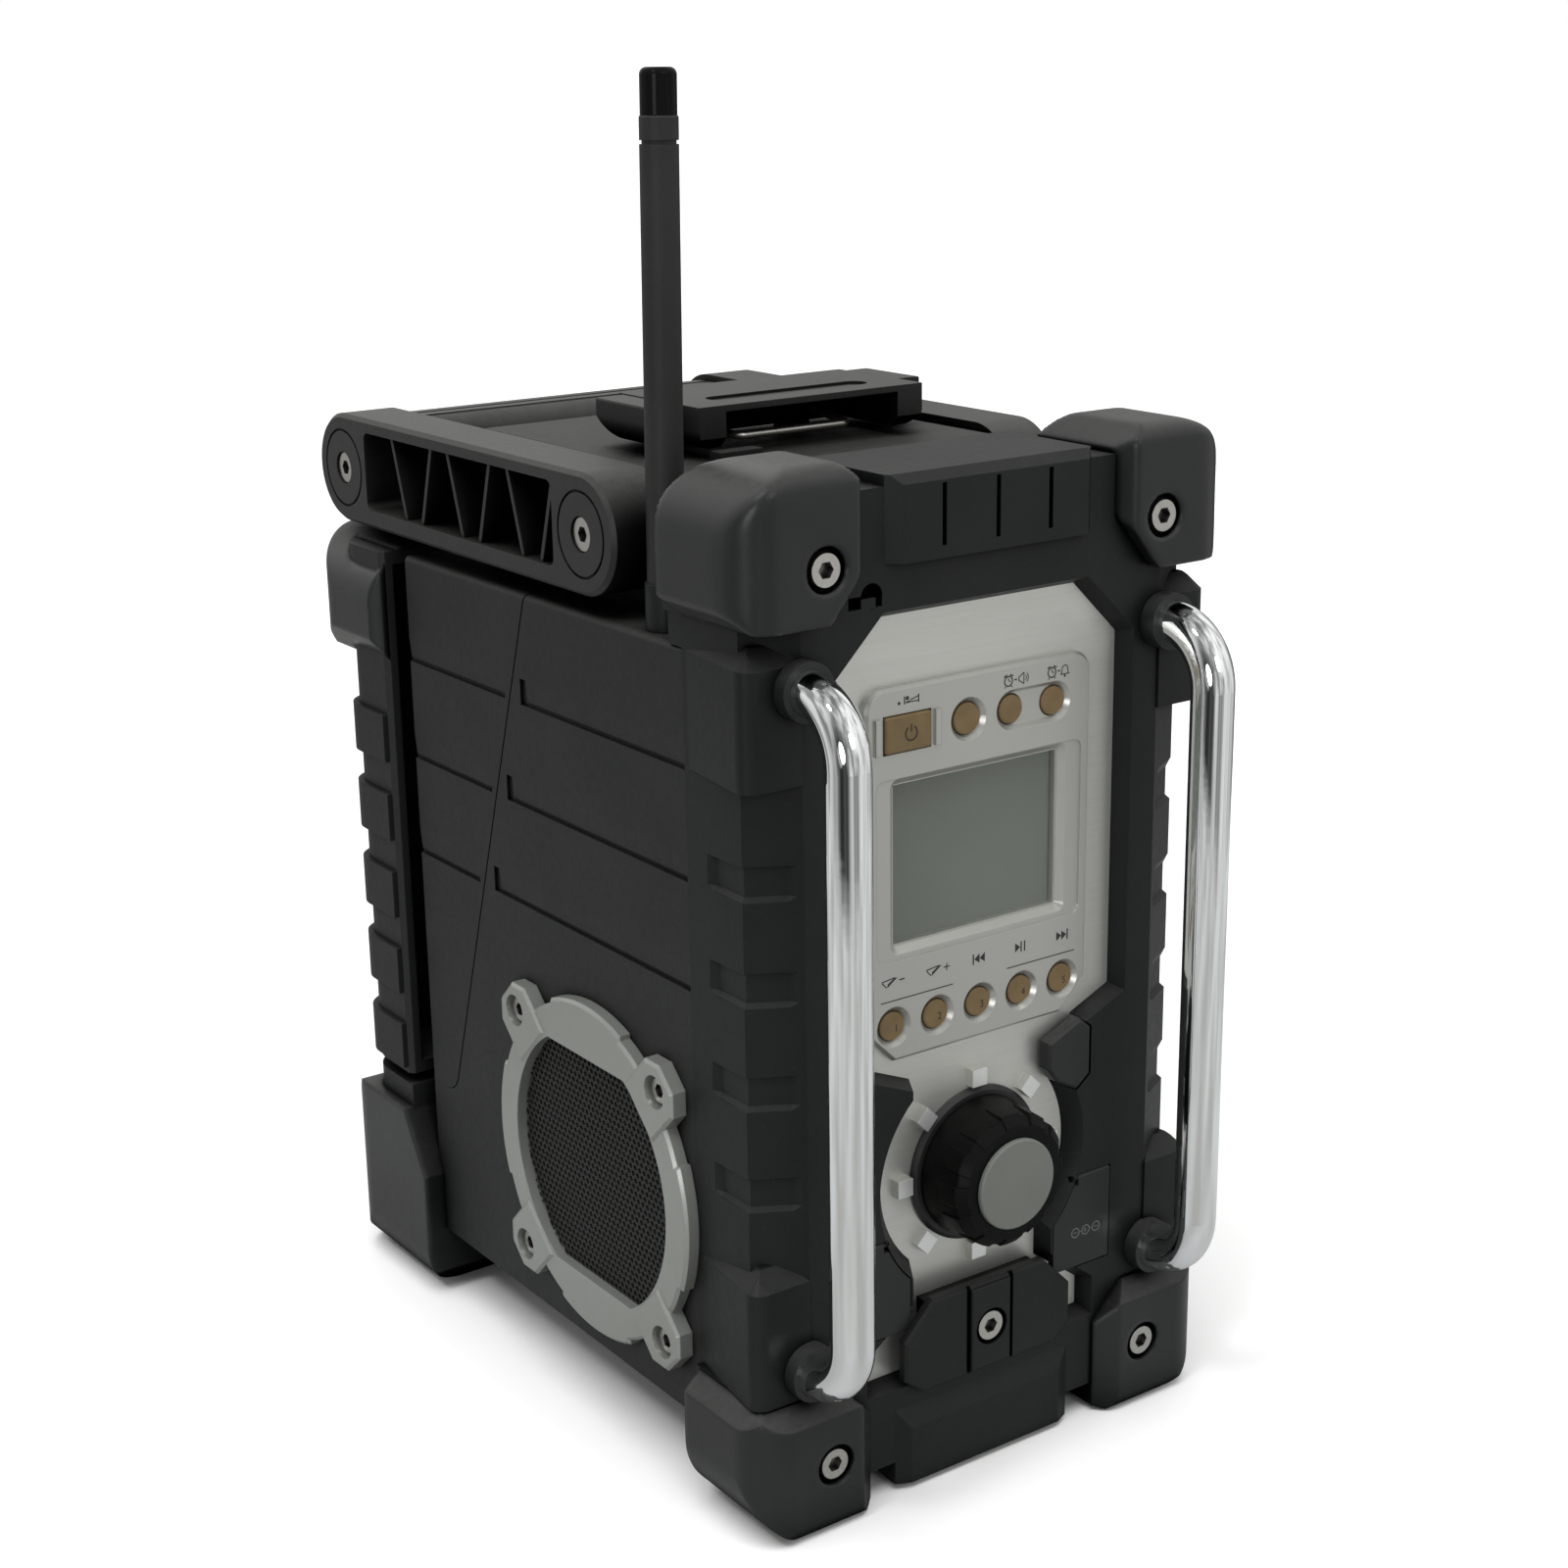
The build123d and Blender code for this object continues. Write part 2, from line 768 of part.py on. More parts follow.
with BuildPart() as latch_lever:
    with BuildSketch(across(-lever_half)) as lever_side:
        Polygon(
            (lever_front, lever_bottom + lever_edge),
            (lever_front, lever_top),
            (lever_rear, lever_top),
            (lever_rear, lever_bottom + lever_edge),
            (lever_rear - lever_edge, lever_bottom),
            (lever_front + lever_edge, lever_bottom),
            align=None,
        )
        fillet(corner(lever_side, (lever_rear, lever_top)), 2)
    extrude(amount=2 * lever_half)
    with BuildSketch(facing(lever_rear + 1)) as cheek_front:
        with Locations((0, (lever_bottom + lever_top) / 2)):
            Rectangle(2 * lever_half, lever_top - lever_bottom)
        for half in (-lever_half, lever_half):
            fillet(corner(cheek_front, (half, lever_bottom)), cheek_round)
    extrude(amount=lever_rear + 2 - lever_front, mode=Mode.INTERSECT)
    add(lever_wings.part)
    room_rear = lever_axis_y - lever_room
    with BuildSketch(across(-lever_channel_half)):
        with Locations(((lever_front + room_rear) / 2 - 1, lever_bottom)):
            Rectangle(room_rear - lever_front + 2, 2 * (lever_top - lever_plate - lever_bottom))
    extrude(amount=2 * lever_channel_half, mode=Mode.SUBTRACT)
    for x in (-lug_x, lug_x):
        with BuildSketch(across(x - slot_half)):
            with Locations((lever_axis_y, lever_axis_z)):
                Circle(lever_pin_radius + lever_lug_wall + gap)
            slot_front = lever_axis_y - lever_pin_radius - lever_lug_wall - gap
            slot_top = lever_top - lever_plate
            with Locations(((slot_front + lever_rear + 1) / 2, (slot_top + lever_bottom - 1) / 2)):
                Rectangle(lever_rear + 1 - slot_front, slot_top - lever_bottom + 1)
        extrude(amount=2 * slot_half, mode=Mode.SUBTRACT)
    with BuildSketch(across(0)):
        with Locations((lever_axis_y, lever_axis_z)):
            Circle(lever_pin_radius + running)
    extrude(amount=lug_x + lug_length, both=True, mode=Mode.SUBTRACT)
    with BuildSketch(Plane.XY.offset(lever_top)):
        with Locations((0, (lever_front + lever_wing_front) / 2 + 6)):
            SlotOverall(lever_slot_length, lever_slot_width)
    extrude(amount=-lever_slot_depth, mode=Mode.SUBTRACT)
save(latch_lever.part, "latch_lever")

with BuildPart() as hinge_pins:
    for side in (-1, 1):
        with BuildSketch(across(side * knuckle_inner)):
            with Locations((door_axis_y, door_axis_z)):
                Circle(door_pin_radius)
        extrude(amount=side * (2 * knuckle_length + gap))
    with BuildSketch(across(0)):
        with Locations((lever_axis_y, lever_axis_z)):
            Circle(lever_pin_radius)
    extrude(amount=lug_x + lug_length / 2 + 3, both=True)
save(hinge_pins.part, "hinge_pins")

wire_z = lever_bottom + wire_radius
with BuildPart() as latch_wire:
    with BuildLine() as wire_path:
        FilletPolyline(
            (-wire_half, room_rear - gap, wire_z + 2),
            (-wire_half, wire_y, wire_z),
            (wire_half, wire_y, wire_z),
            (wire_half, room_rear - gap, wire_z + 2),
            radius=3,
        )
    with BuildSketch(Plane(origin=wire_path.line @ 0, z_dir=wire_path.line % 0)):
        Circle(wire_radius)
    sweep()
save(latch_wire.part, "latch_wire")

# ---------------------------------------------------------------- carrying handle
# Two moulded channel arms, a grip bar across the rear and the bolts they turn on.
rib_span = window_rear_y - window_front_y
rib_rise = window_high_z - window_low_z
with BuildPart() as handle_arm:
    with BuildSketch(across(arm_inner)) as arm_side:
        with Locations(((pivot_y + grip_y) / 2, arm_z)):
            SlotCenterToCenter(grip_y - pivot_y, 2 * arm_radius)
        with Locations(((window_front_y + window_rear_y) / 2, (window_low_z + window_high_z) / 2)):
            RectangleRounded(rib_span, rib_rise, 2.5, mode=Mode.SUBTRACT)
        with Locations((pivot_y, arm_z)):
            Circle(pivot_bolt_radius + running, mode=Mode.SUBTRACT)
        with Locations((grip_y, arm_z)):
            Circle(pivot_bolt_radius, mode=Mode.SUBTRACT)
    extrude(amount=arm_outer - arm_inner)
    chamfer(handle_arm.faces().sort_by(Axis.X)[-1].outer_wire().edges(), arm_bevel)
    with BuildSketch(across(arm_inner)):
        for i in range(rib_pairs):
            for foot, lean in ((rib_first, rib_lean), (rib_first - rib_pitch / 2, -rib_lean)):
                middle = foot - i * rib_pitch
                Polygon(
                    (middle + (lean + rib_thickness) / 2, window_high_z + 1),
                    (middle + (lean - rib_thickness) / 2, window_high_z + 1),
                    (middle - (lean + rib_thickness) / 2, window_low_z - 1),
                    (middle - (lean - rib_thickness) / 2, window_low_z - 1),
                    align=None,
                )
    extrude(amount=arm_outer - arm_inner - rib_recess)
    for y, play in ((pivot_y, gap), (grip_y, 0)):
        with BuildSketch(across(arm_outer)):
            with Locations((y, arm_z)):
                Circle(bolt_head_radius + gap)
        extrude(amount=-bolt_head_height - boss_step - play, mode=Mode.SUBTRACT)
    with BuildSketch(across(arm_outer)):
        with Locations((pivot_y, arm_z), (grip_y, arm_z)):
            Circle(boss_radius)
            Circle(boss_radius - boss_groove, mode=Mode.SUBTRACT)
    extrude(amount=-boss_step, mode=Mode.SUBTRACT)
save_pair(handle_arm.part, "handle_arm")

with BuildPart() as handle_grip:
    grip_center = grip_y + grip_offset
    with BuildSketch(across(-arm_inner)) as grip_side:
        with Locations((grip_center, arm_z + 1)):
            RectangleRounded(grip_depth, grip_height, 8)
        for i in range(3):
            along = (i - 1) * grip_groove_pitch
            with Locations((grip_center - grip_depth / 2, arm_z + 2 - along)):
                Circle(grip_groove_radius, mode=Mode.SUBTRACT)
            with Locations((grip_center + along, arm_z + 1 + grip_height / 2)):
                Circle(grip_groove_radius, mode=Mode.SUBTRACT)
        with Locations((grip_y, arm_z)):
            Circle(pivot_bolt_radius, mode=Mode.SUBTRACT)
    extrude(amount=2 * arm_inner)
save(handle_grip.part, "handle_grip")


def cross_bolts(y, reach):
    """Two socket bolts at y, one each side, whose shanks end at |x| = reach."""
    with BuildPart() as bolts:
        for side in (-1, 1):
            head_x = side * (arm_outer - boss_step - bolt_head_height)
            with BuildSketch(across(head_x)):
                with Locations((y, arm_z)):
                    Circle(bolt_head_radius)
            extrude(amount=side * bolt_head_height)
            with BuildSketch(across(head_x)):
                with Locations((y, arm_z)):
                    Circle(pivot_bolt_radius)
            extrude(amount=-side * (abs(head_x) - reach))
            with BuildSketch(across(head_x + side * bolt_head_height)):
                with Locations((y, arm_z)):
                    RegularPolygon(socket_across / 2, 6, major_radius=False)
            extrude(amount=-side * socket_depth, mode=Mode.SUBTRACT)
    return bolts.part


save(cross_bolts(pivot_y, arm_inner - gap - pivot_bore + 1), "pivot_bolts")
save(cross_bolts(grip_y, arm_inner - grip_bolt_hold), "grip_bolts")

# ---------------------------------------------------------------- antenna
antenna_seat = antenna_foot_top - antenna_plug
antenna_plane = Plane(
    origin=(antenna_x, antenna_y, antenna_seat),
    z_dir=(sin(radians(antenna_lean)), 0, cos(radians(antenna_lean))),
)
mast_length = antenna_tip - antenna_cap_length - antenna_seat
with BuildPart() as antenna_mast:
    with BuildSketch(antenna_plane):
        Circle(antenna_radius)
    extrude(amount=mast_length)
    with BuildSketch(antenna_plane.offset(mast_length - antenna_ring_drop)):
        Circle(antenna_radius + 1)
        Circle(antenna_radius - antenna_ring_depth, mode=Mode.SUBTRACT)
    extrude(amount=antenna_ring_width, mode=Mode.SUBTRACT)
    fillet(antenna_mast.edges().group_by(Axis.Z)[-1], 0.6)
save(antenna_mast.part, "antenna_mast")

with BuildPart() as antenna_cap:
    with BuildSketch(antenna_plane.offset(mast_length)):
        Circle(antenna_cap_radius)
    extrude(amount=antenna_cap_length)
    fillet(antenna_cap.faces().sort_by(Axis.Z)[-1].edges(), 1.8)
save(antenna_cap.part, "antenna_cap")

with BuildPart() as antenna_foot:
    with BuildSketch(Plane.XY.offset(housing_top)):
        with Locations((antenna_x, antenna_y)):
            Circle(antenna_foot_radius)
    extrude(amount=antenna_foot_top - housing_top)
    fillet(antenna_foot.faces().sort_by(Axis.Z)[-1].edges(), 0.5)
    with BuildSketch(antenna_plane):
        Circle(antenna_radius)
    extrude(amount=antenna_plug + 2, mode=Mode.SUBTRACT)
save(antenna_foot.part, "antenna_foot")

# ---------------------------------------------------------------- front frame
# The dark moulding round the plate: corner strips with shoulders and tread marks, the
# top box that the upper bumpers wrap, the raised band and the bar at the foot.


bevel_run = strip_corner_half - strip_inner
bevel_rise = strip_corner_y - frame_face
bevel_angle = atan2(bevel_rise, bevel_run)


def on_bevel(part, depth):
    """Plan point on the strip's bevel, a part of the way from its corner, and depth below it."""
    return (
        strip_corner_half - part * bevel_run - depth * sin(bevel_angle),
        strip_corner_y - part * bevel_rise + depth * cos(bevel_angle),
    )


def mark_section(side):
    """Plan points of a tread mark that wraps the strip's corner."""
    points = (
        (housing_half + 4, tread_mark_rear),
        (housing_half, tread_mark_rear),
        (strip_corner_half - tread_mark_depth, tread_mark_rear - tread_mark_end),
        on_bevel(0.04, tread_mark_depth),
        on_bevel(0.77, tread_mark_depth),
        on_bevel(0.9, 0),
        on_bevel(0.9, -4),
        (housing_half + 4, strip_corner_y - 4),
    )
    return [(side * x, y) for x, y in points]


def bay_outline(grow):
    """Half outline of the plate as it shows in the frame, grown all round by grow."""
    return (
        (panel_top_half + 0.4 * grow, panel_top + grow),
        (panel_half + grow, panel_shoulder_z + 0.4 * grow),
        (panel_half + grow, panel_waist_z - 0.4 * grow),
        (panel_neck_half + grow, panel_neck_top - 0.6 * grow),
        (panel_neck_half + grow, panel_neck_top - 14),
        (panel_neck_half + grow, panel_foot_z + 12),
        (panel_foot_half + grow, panel_foot_z),
        (panel_foot_half + grow, panel_bottom - grow),
    )



def menu_outline(left):
    """Outline of the menu key, whose left edge stands at x = left."""
    return (
        (left, 120.9),
        (34.5, 125.9),
        (38.6, 122.5),
        (38.6, 108.3),
        (33.7, 104.5),
        (26.1, 108.7),
        (left, 112.9),
    )


frame_depth = housing_front - frame_face
strip_points = (
    (-housing_half, housing_front),
    (-strip_corner_half, strip_corner_y),
    (-strip_inner, frame_face),
    (strip_inner, frame_face),
    (strip_corner_half, strip_corner_y),
    (housing_half, housing_front),
)
with BuildSketch() as shoulder_plan:
    Polygon(
        (-housing_half, shoulder_rear),
        (-shoulder_half, shoulder_face),
        (-strip_inner, shoulder_face),
        (-strip_inner, frame_face + 2),
        (strip_inner, frame_face + 2),
        (strip_inner, shoulder_face),
        (shoulder_half, shoulder_face),
        (housing_half, shoulder_rear),
        align=None,
    )
    fillet(corner(shoulder_plan, (shoulder_half, shoulder_face)), shoulder_corner)
    fillet(corner(shoulder_plan, (-shoulder_half, shoulder_face)), shoulder_corner)
knob_axis = Axis((0, 0, knob_z), (0, 1, 0))
with BuildPart() as bottom_bar:
    bar_rear = frame_face + bottom_bar_depth
    with BuildSketch(across(-bottom_bar_half)):
        Polygon(
            (bar_rear, bottom_bar_bottom + bottom_bar_lift),
            (frame_face + bottom_bar_lift, bottom_bar_bottom),
            (bottom_bar_face, bottom_bar_bottom),
            (bottom_bar_face, bottom_bar_shoulder),
            (frame_face, bottom_bar_top),
            (bar_rear, bottom_bar_top),
            align=None,
        )
    extrude(amount=2 * bottom_bar_half)
    with BuildSketch(Plane.XY) as bar_plan:
        Polygon(
            (-bottom_bar_half, bar_rear),
            (-bottom_bar_half, frame_face),
            (bottom_bar_facet - bottom_bar_half, bottom_bar_face),
            (bottom_bar_half - bottom_bar_facet, bottom_bar_face),
            (bottom_bar_half, frame_face),
            (bottom_bar_half, bar_rear),
            align=None,
        )
    extrude(amount=bottom_bar_top, mode=Mode.INTERSECT)

with BuildPart() as frame_core:
    with BuildSketch(Plane.XY.offset(strip_bottom)):
        Polygon(*strip_points, align=None)
    extrude(amount=upper_bumper_bottom + 1 - strip_bottom)
    for low, high in (
        (strip_bottom, lower_shoulder_top - shoulder_slope),
        (upper_shoulder_bottom, upper_shoulder_top - shoulder_slope),
    ):
        with BuildSketch(Plane.XY.offset(low)):
            add(shoulder_plan.sketch)
        extrude(amount=high - low)
        with BuildSketch(Plane.XY.offset(high)):
            add(shoulder_plan.sketch)
        extrude(amount=shoulder_slope, taper=45)
    with BuildSketch(facing(housing_front)) as frame_front:
        with Locations((0, (frame_bottom + strip_bottom) / 2)):
            Rectangle(2 * frame_half, strip_bottom - frame_bottom)
        chamfer(corner(frame_front, (frame_half, frame_bottom)), frame_foot_bevel)
        chamfer(corner(frame_front, (-frame_half, frame_bottom)), frame_foot_bevel)
    extrude(amount=frame_depth)
    with BuildSketch(Plane.XY.offset(housing_top)):
        with Locations((0, (top_box_rear + housing_front) / 2)):
            Rectangle(housing_width, top_box_rear - housing_front)
    extrude(amount=upper_bumper_bottom + 1 - housing_top)
    with BuildSketch(facing(top_box_rear)) as box_front:
        with Locations((0, (upper_bumper_bottom + frame_top) / 2)):
            Rectangle(2 * frame_half, frame_top - upper_bumper_bottom)
        chamfer(corner(box_front, (frame_half, frame_top)), top_box_bevel)
        chamfer(corner(box_front, (-frame_half, frame_top)), top_box_bevel)
    extrude(amount=top_box_rear - frame_face)
    with BuildSketch(Plane.XY.offset(band_bottom)):
        Polygon(
            (-band_half, top_box_rear - band_overhang),
            (-band_half, frame_face),
            (-band_half + band_bevel, band_face),
            (band_half - band_bevel, band_face),
            (band_half, frame_face),
            (band_half, top_box_rear - band_overhang),
            align=None,
        )
    extrude(amount=band_top - band_bottom)
    chamfer(frame_core.edges().filter_by(Axis.X).group_by(Axis.Z)[-1], 2.5)
    add(bottom_bar.part)

with BuildPart() as front_frame:
    add(frame_core.part)
    with BuildSketch(facing(band_face)):
        for i in (-1, 0, 1):
            with Locations((i * band_groove_spacing, (band_bottom + band_top) / 2)):
                Rectangle(band_groove_width, band_groove_length)
    extrude(amount=-band_groove_depth, mode=Mode.SUBTRACT)
    # the bay for the plate, and the room behind its lip
    for half in (-1, 1):
        with BuildSketch(facing(frame_face + 12)) as bay:
            Polygon(
                (0, panel_top),
                *[(half * x, z) for x, z in bay_outline(0)],
                (0, panel_bottom),
                align=None,
            )
            with Locations((0, knob_z)):
                Circle(knob_bay_radius)
        extrude(amount=16, mode=Mode.SUBTRACT)
    with BuildSketch(facing(panel_face)):
        Polygon(
            *[(x, z) for x, z in bay_outline(0)],
            *[(-x, z) for x, z in reversed(bay_outline(0))],
            align=None,
        )
    extrude(amount=panel_face - frame_face, taper=-lip_lean, mode=Mode.SUBTRACT)
    with BuildSketch(Plane.XY.offset(knob_z)):
        Polygon(
            (0, panel_face + 1),
            (knob_bay_radius, panel_face + 1),
            (knob_bay_radius, panel_face),
            (knob_bay_mouth, frame_face),
            (knob_bay_mouth, frame_face - 4),
            (0, frame_face - 4),
            align=None,
        )
    revolve(axis=knob_axis, mode=Mode.SUBTRACT)
    with BuildSketch(facing(panel_face)):
        with Locations((0, (frame_pocket_bottom + frame_pocket_top) / 2)):
            Rectangle(2 * frame_pocket_half, frame_pocket_top - frame_pocket_bottom)
    extrude(amount=-(housing_front - panel_face), mode=Mode.SUBTRACT)
    # the menu button's pocket, open to the bay
    with BuildSketch(facing(panel_face)) as menu_pocket:
        Polygon(*menu_outline(panel_neck_half - 2), align=None)
        offset(amount=gap)
    extrude(amount=6, mode=Mode.SUBTRACT)
    # the recesses of the jack covers and the holes behind them
    recess_floor = frame_face + cover_thickness + gap
    for side in (-1, 1):
        with BuildSketch(facing(recess_floor)) as recess:
            middle_x = side * (cover_inner_x + cover_outer_x) / 2
            recess_top = cover_axis_z + cover_thickness / 2 + gap
            with Locations((middle_x, (cover_bottom - gap + recess_top) / 2)):
                Rectangle(cover_outer_x - cover_inner_x + 2 * gap, recess_top - cover_bottom + gap)
            with Locations((0, knob_z)):
                Circle(cover_arc_radius - gap, mode=Mode.SUBTRACT)
        extrude(amount=frame_depth, mode=Mode.SUBTRACT)
        with BuildSketch(across(side * knob_bay_radius)):
            with Locations((frame_face + cover_thickness / 2, cover_axis_z)):
                Circle(cover_pin_radius + running)
        pin_end = cover_outer_x + cover_pin_length + gap
        extrude(amount=side * (pin_end - knob_bay_radius), mode=Mode.SUBTRACT)
        with BuildSketch(facing(recess_floor)):
            with Locations((side * jack_x, jack_z)):
                Circle(jack_body_radius)
        extrude(amount=-6, mode=Mode.SUBTRACT)
    # seats and sockets of the guard bars
    for z in (bar_lower_z, bar_upper_z):
        for x in (-bar_x, bar_x):
            with BuildSketch(facing(frame_face)):
                with Locations((x, z)):
                    Circle(collar_radius)
            extrude(amount=collar_seat, mode=Mode.SUBTRACT)
            with BuildSketch(facing(frame_face)):
                with Locations((x, z)):
                    Circle(bar_radius)
            extrude(amount=-bar_socket_depth, mode=Mode.SUBTRACT)
    # screw holes
    with BuildSketch(facing(frame_face)):
        with Locations(*front_screws_xz, (0, block_screw_z)):
            Circle(screw_shank_radius)
    extrude(amount=-screw_length, mode=Mode.SUBTRACT)
    # the strap eye: a round hole and a slot with a tab between them
    with BuildSketch(facing(frame_face)):
        with Locations((eye_x, eye_z)):
            Circle(eye_radius)
        with Locations((eye_x - eye_slot_shift, eye_z - eye_slot_drop)):
            Rectangle(eye_slot_length, eye_slot_height)
        with Locations((eye_x - eye_slot_shift / 2, eye_z - eye_tab_drop)):
            Rectangle(eye_tab, eye_slot_height - gap, mode=Mode.SUBTRACT)
    extrude(amount=-eye_depth, mode=Mode.SUBTRACT)
    # tread marks round the corner strips
    for i in range(tread_mark_count):
        floor_bottom = tread_mark_first - i * tread_mark_pitch
        floor_top = floor_bottom + tread_mark_height
        for z, rise, lean in (
            (floor_bottom, tread_mark_height, 0),
            (floor_top, tread_mark_top, atan2(tread_mark_depth, tread_mark_top)),
            (floor_bottom, -tread_mark_foot, atan2(tread_mark_depth, tread_mark_foot)),
        ):
            with BuildSketch(Plane.XY.offset(z)):
                Polygon(*mark_section(-1), align=None)
                Polygon(*mark_section(1), align=None)
            extrude(amount=rise, taper=degrees(lean), mode=Mode.SUBTRACT)
save(front_frame.part, "front_frame")

# ---------------------------------------------------------------- corner bumpers
with BuildPart() as bumper_top:
    with BuildSketch(facing(upper_bumper_rear)) as bumper_front:
        Polygon(
            (bumper_inner + bumper_low_run, upper_bumper_bottom),
            (bumper_half - bumper_bevel, upper_bumper_bottom),
            (bumper_half, upper_bumper_bottom + bumper_bevel),
            (bumper_half, upper_bumper_top),
            (bumper_inner + bumper_crest, upper_bumper_top),
            (bumper_inner, upper_bumper_top - bumper_crest),
            (bumper_inner, upper_bumper_bottom + bumper_low_rise),
            align=None,
        )
        fillet(corner(bumper_front, (bumper_half, upper_bumper_top)), upper_bumper_round)
    extrude(amount=upper_bumper_rear - bumper_face)
    with BuildSketch(Plane.XY.offset(upper_bumper_bottom)) as upper_plan:
        Polygon(
            (bumper_inner, upper_bumper_rear),
            (bumper_inner, frame_face),
            (bumper_inner + 3, bumper_face),
            (bumper_half, bumper_face),
            (bumper_half, upper_bumper_rear),
            align=None,
        )
        fillet(corner(upper_plan, (bumper_half, bumper_face)), bumper_plan_corner)
    extrude(amount=upper_bumper_top - upper_bumper_bottom, mode=Mode.INTERSECT)
    with BuildSketch(across(bumper_inner)) as upper_side:
        Polygon(
            (bumper_face, upper_bumper_bottom),
            (upper_bumper_rear - bumper_bevel, upper_bumper_bottom),
            (upper_bumper_rear, upper_bumper_bottom + bumper_bevel),
            (upper_bumper_rear, upper_bumper_top),
            (bumper_face, upper_bumper_top),
            align=None,
        )
        fillet(corner(upper_side, (bumper_face, upper_bumper_top)), bumper_edge_round)
        fillet(corner(upper_side, (upper_bumper_rear, upper_bumper_top)), bumper_back_round)
    extrude(amount=bumper_half - bumper_inner, mode=Mode.INTERSECT)
    add(frame_core.part, mode=Mode.SUBTRACT)
    with BuildSketch(facing(bumper_face)):
        with Locations((screw_x, upper_screw_z)):
            Circle(counterbore_radius)
    extrude(amount=-counterbore_depth - screw_head_height + screw_head_proud, mode=Mode.SUBTRACT)
    with BuildSketch(facing(bumper_face)):
        with Locations((screw_x, upper_screw_z)):
            Circle(screw_shank_radius)
    extrude(amount=-screw_length - 1, mode=Mode.SUBTRACT)
save_pair(bumper_top.part, "bumper_top")

foot_inner = bumper_inner - foot_inner_step
with BuildPart() as bumper_foot:
    with BuildSketch(facing(lower_bumper_rear)) as foot_front:
        Polygon(
            (foot_inner, foot_inner_step),
            (foot_inner + foot_bevel, 0),
            (bumper_half, 0),
            (bumper_half, lower_bumper_top),
            (foot_inner + foot_inner_slope, lower_bumper_top),
            (foot_inner, lower_bumper_top - foot_inner_slope),
            align=None,
        )
        fillet(corner(foot_front, (bumper_half, 0)), lower_bumper_round)
        chamfer(corner(foot_front, (bumper_half, lower_bumper_top)), foot_bevel)
    extrude(amount=lower_bumper_rear - bumper_face)
    with BuildSketch(Plane.XY) as foot_plan:
        Polygon(
            (foot_inner, lower_bumper_rear),
            (foot_inner, frame_face - 1),
            (bumper_inner + foot_plan_bevel, bumper_face),
            (bumper_half, bumper_face),
            (bumper_half, lower_bumper_rear),
            align=None,
        )
        fillet(corner(foot_plan, (bumper_half, bumper_face)), bumper_plan_corner)
    extrude(amount=lower_bumper_top, mode=Mode.INTERSECT)
    with BuildSketch(across(foot_inner)) as foot_side:
        Polygon(
            (bumper_face, 0),
            (lower_bumper_rear - foot_bevel, 0),
            (lower_bumper_rear, foot_bevel),
            (lower_bumper_rear, lower_bumper_top),
            (bumper_face + foot_bevel, lower_bumper_top),
            (bumper_face, lower_bumper_top - foot_bevel),
            align=None,
        )
        fillet(corner(foot_side, (bumper_face, 0)), foot_bevel)
    extrude(amount=bumper_half - foot_inner, mode=Mode.INTERSECT)
    add(frame_core.part, mode=Mode.SUBTRACT)
    add(tub_core.part, mode=Mode.SUBTRACT)
    with BuildSketch(facing(bumper_face)):
        with Locations((screw_x, lower_screw_z)):
            Circle(counterbore_radius)
    extrude(amount=-counterbore_depth - screw_head_height + screw_head_proud, mode=Mode.SUBTRACT)
    with BuildSketch(facing(bumper_face)):
        with Locations((screw_x, lower_screw_z)):
            Circle(screw_shank_radius)
    extrude(amount=-screw_length - 1, mode=Mode.SUBTRACT)
save_pair(bumper_foot.part, "bumper_foot")

with BuildPart() as rear_foot:
    with BuildSketch(facing(rear_foot_front)) as rear_foot_back:
        Polygon(
            (rear_foot_inner, 3),
            (rear_foot_inner + 5, 0),
            (bumper_half, 0),
            (bumper_half, rear_foot_top),
            (rear_foot_inner + rear_foot_top_slope, rear_foot_top),
            (rear_foot_inner, rear_foot_top - rear_foot_top_slope),
            align=None,
        )
        fillet(corner(rear_foot_back, (bumper_half, 0)), upper_bumper_round - 3)
    extrude(amount=-(door_bumper_reach - rear_foot_front))
    with BuildSketch(Plane.XY) as rear_foot_plan:
        Polygon(
            (rear_foot_inner, rear_foot_front),
            (bumper_half, rear_foot_front),
            (bumper_half, door_bumper_reach),
            (rear_foot_inner + 6, door_bumper_reach),
            (rear_foot_inner, door_bumper_reach - 6),
            align=None,
        )
        fillet(corner(rear_foot_plan, (bumper_half, door_bumper_reach)), bumper_plan_corner + 3)
    extrude(amount=rear_foot_top, mode=Mode.INTERSECT)
    with BuildSketch(across(rear_foot_inner)):
        Polygon(
            (rear_foot_front, rear_foot_base_bevel),
            (rear_foot_front + rear_foot_base_bevel, 0),
            (door_bumper_reach - rear_foot_base_bevel, 0),
            (door_bumper_reach, rear_foot_base_bevel),
            (door_bumper_reach, rear_foot_top - rear_foot_back_slope),
            (rim_rear + 1, rear_foot_top),
            (rim_front, rear_foot_top),
            (rear_foot_front, rear_foot_top - 20),
            align=None,
        )
    extrude(amount=bumper_half - rear_foot_inner, mode=Mode.INTERSECT)
    add(tub_core.part, mode=Mode.SUBTRACT)
save_pair(rear_foot.part, "rear_foot")


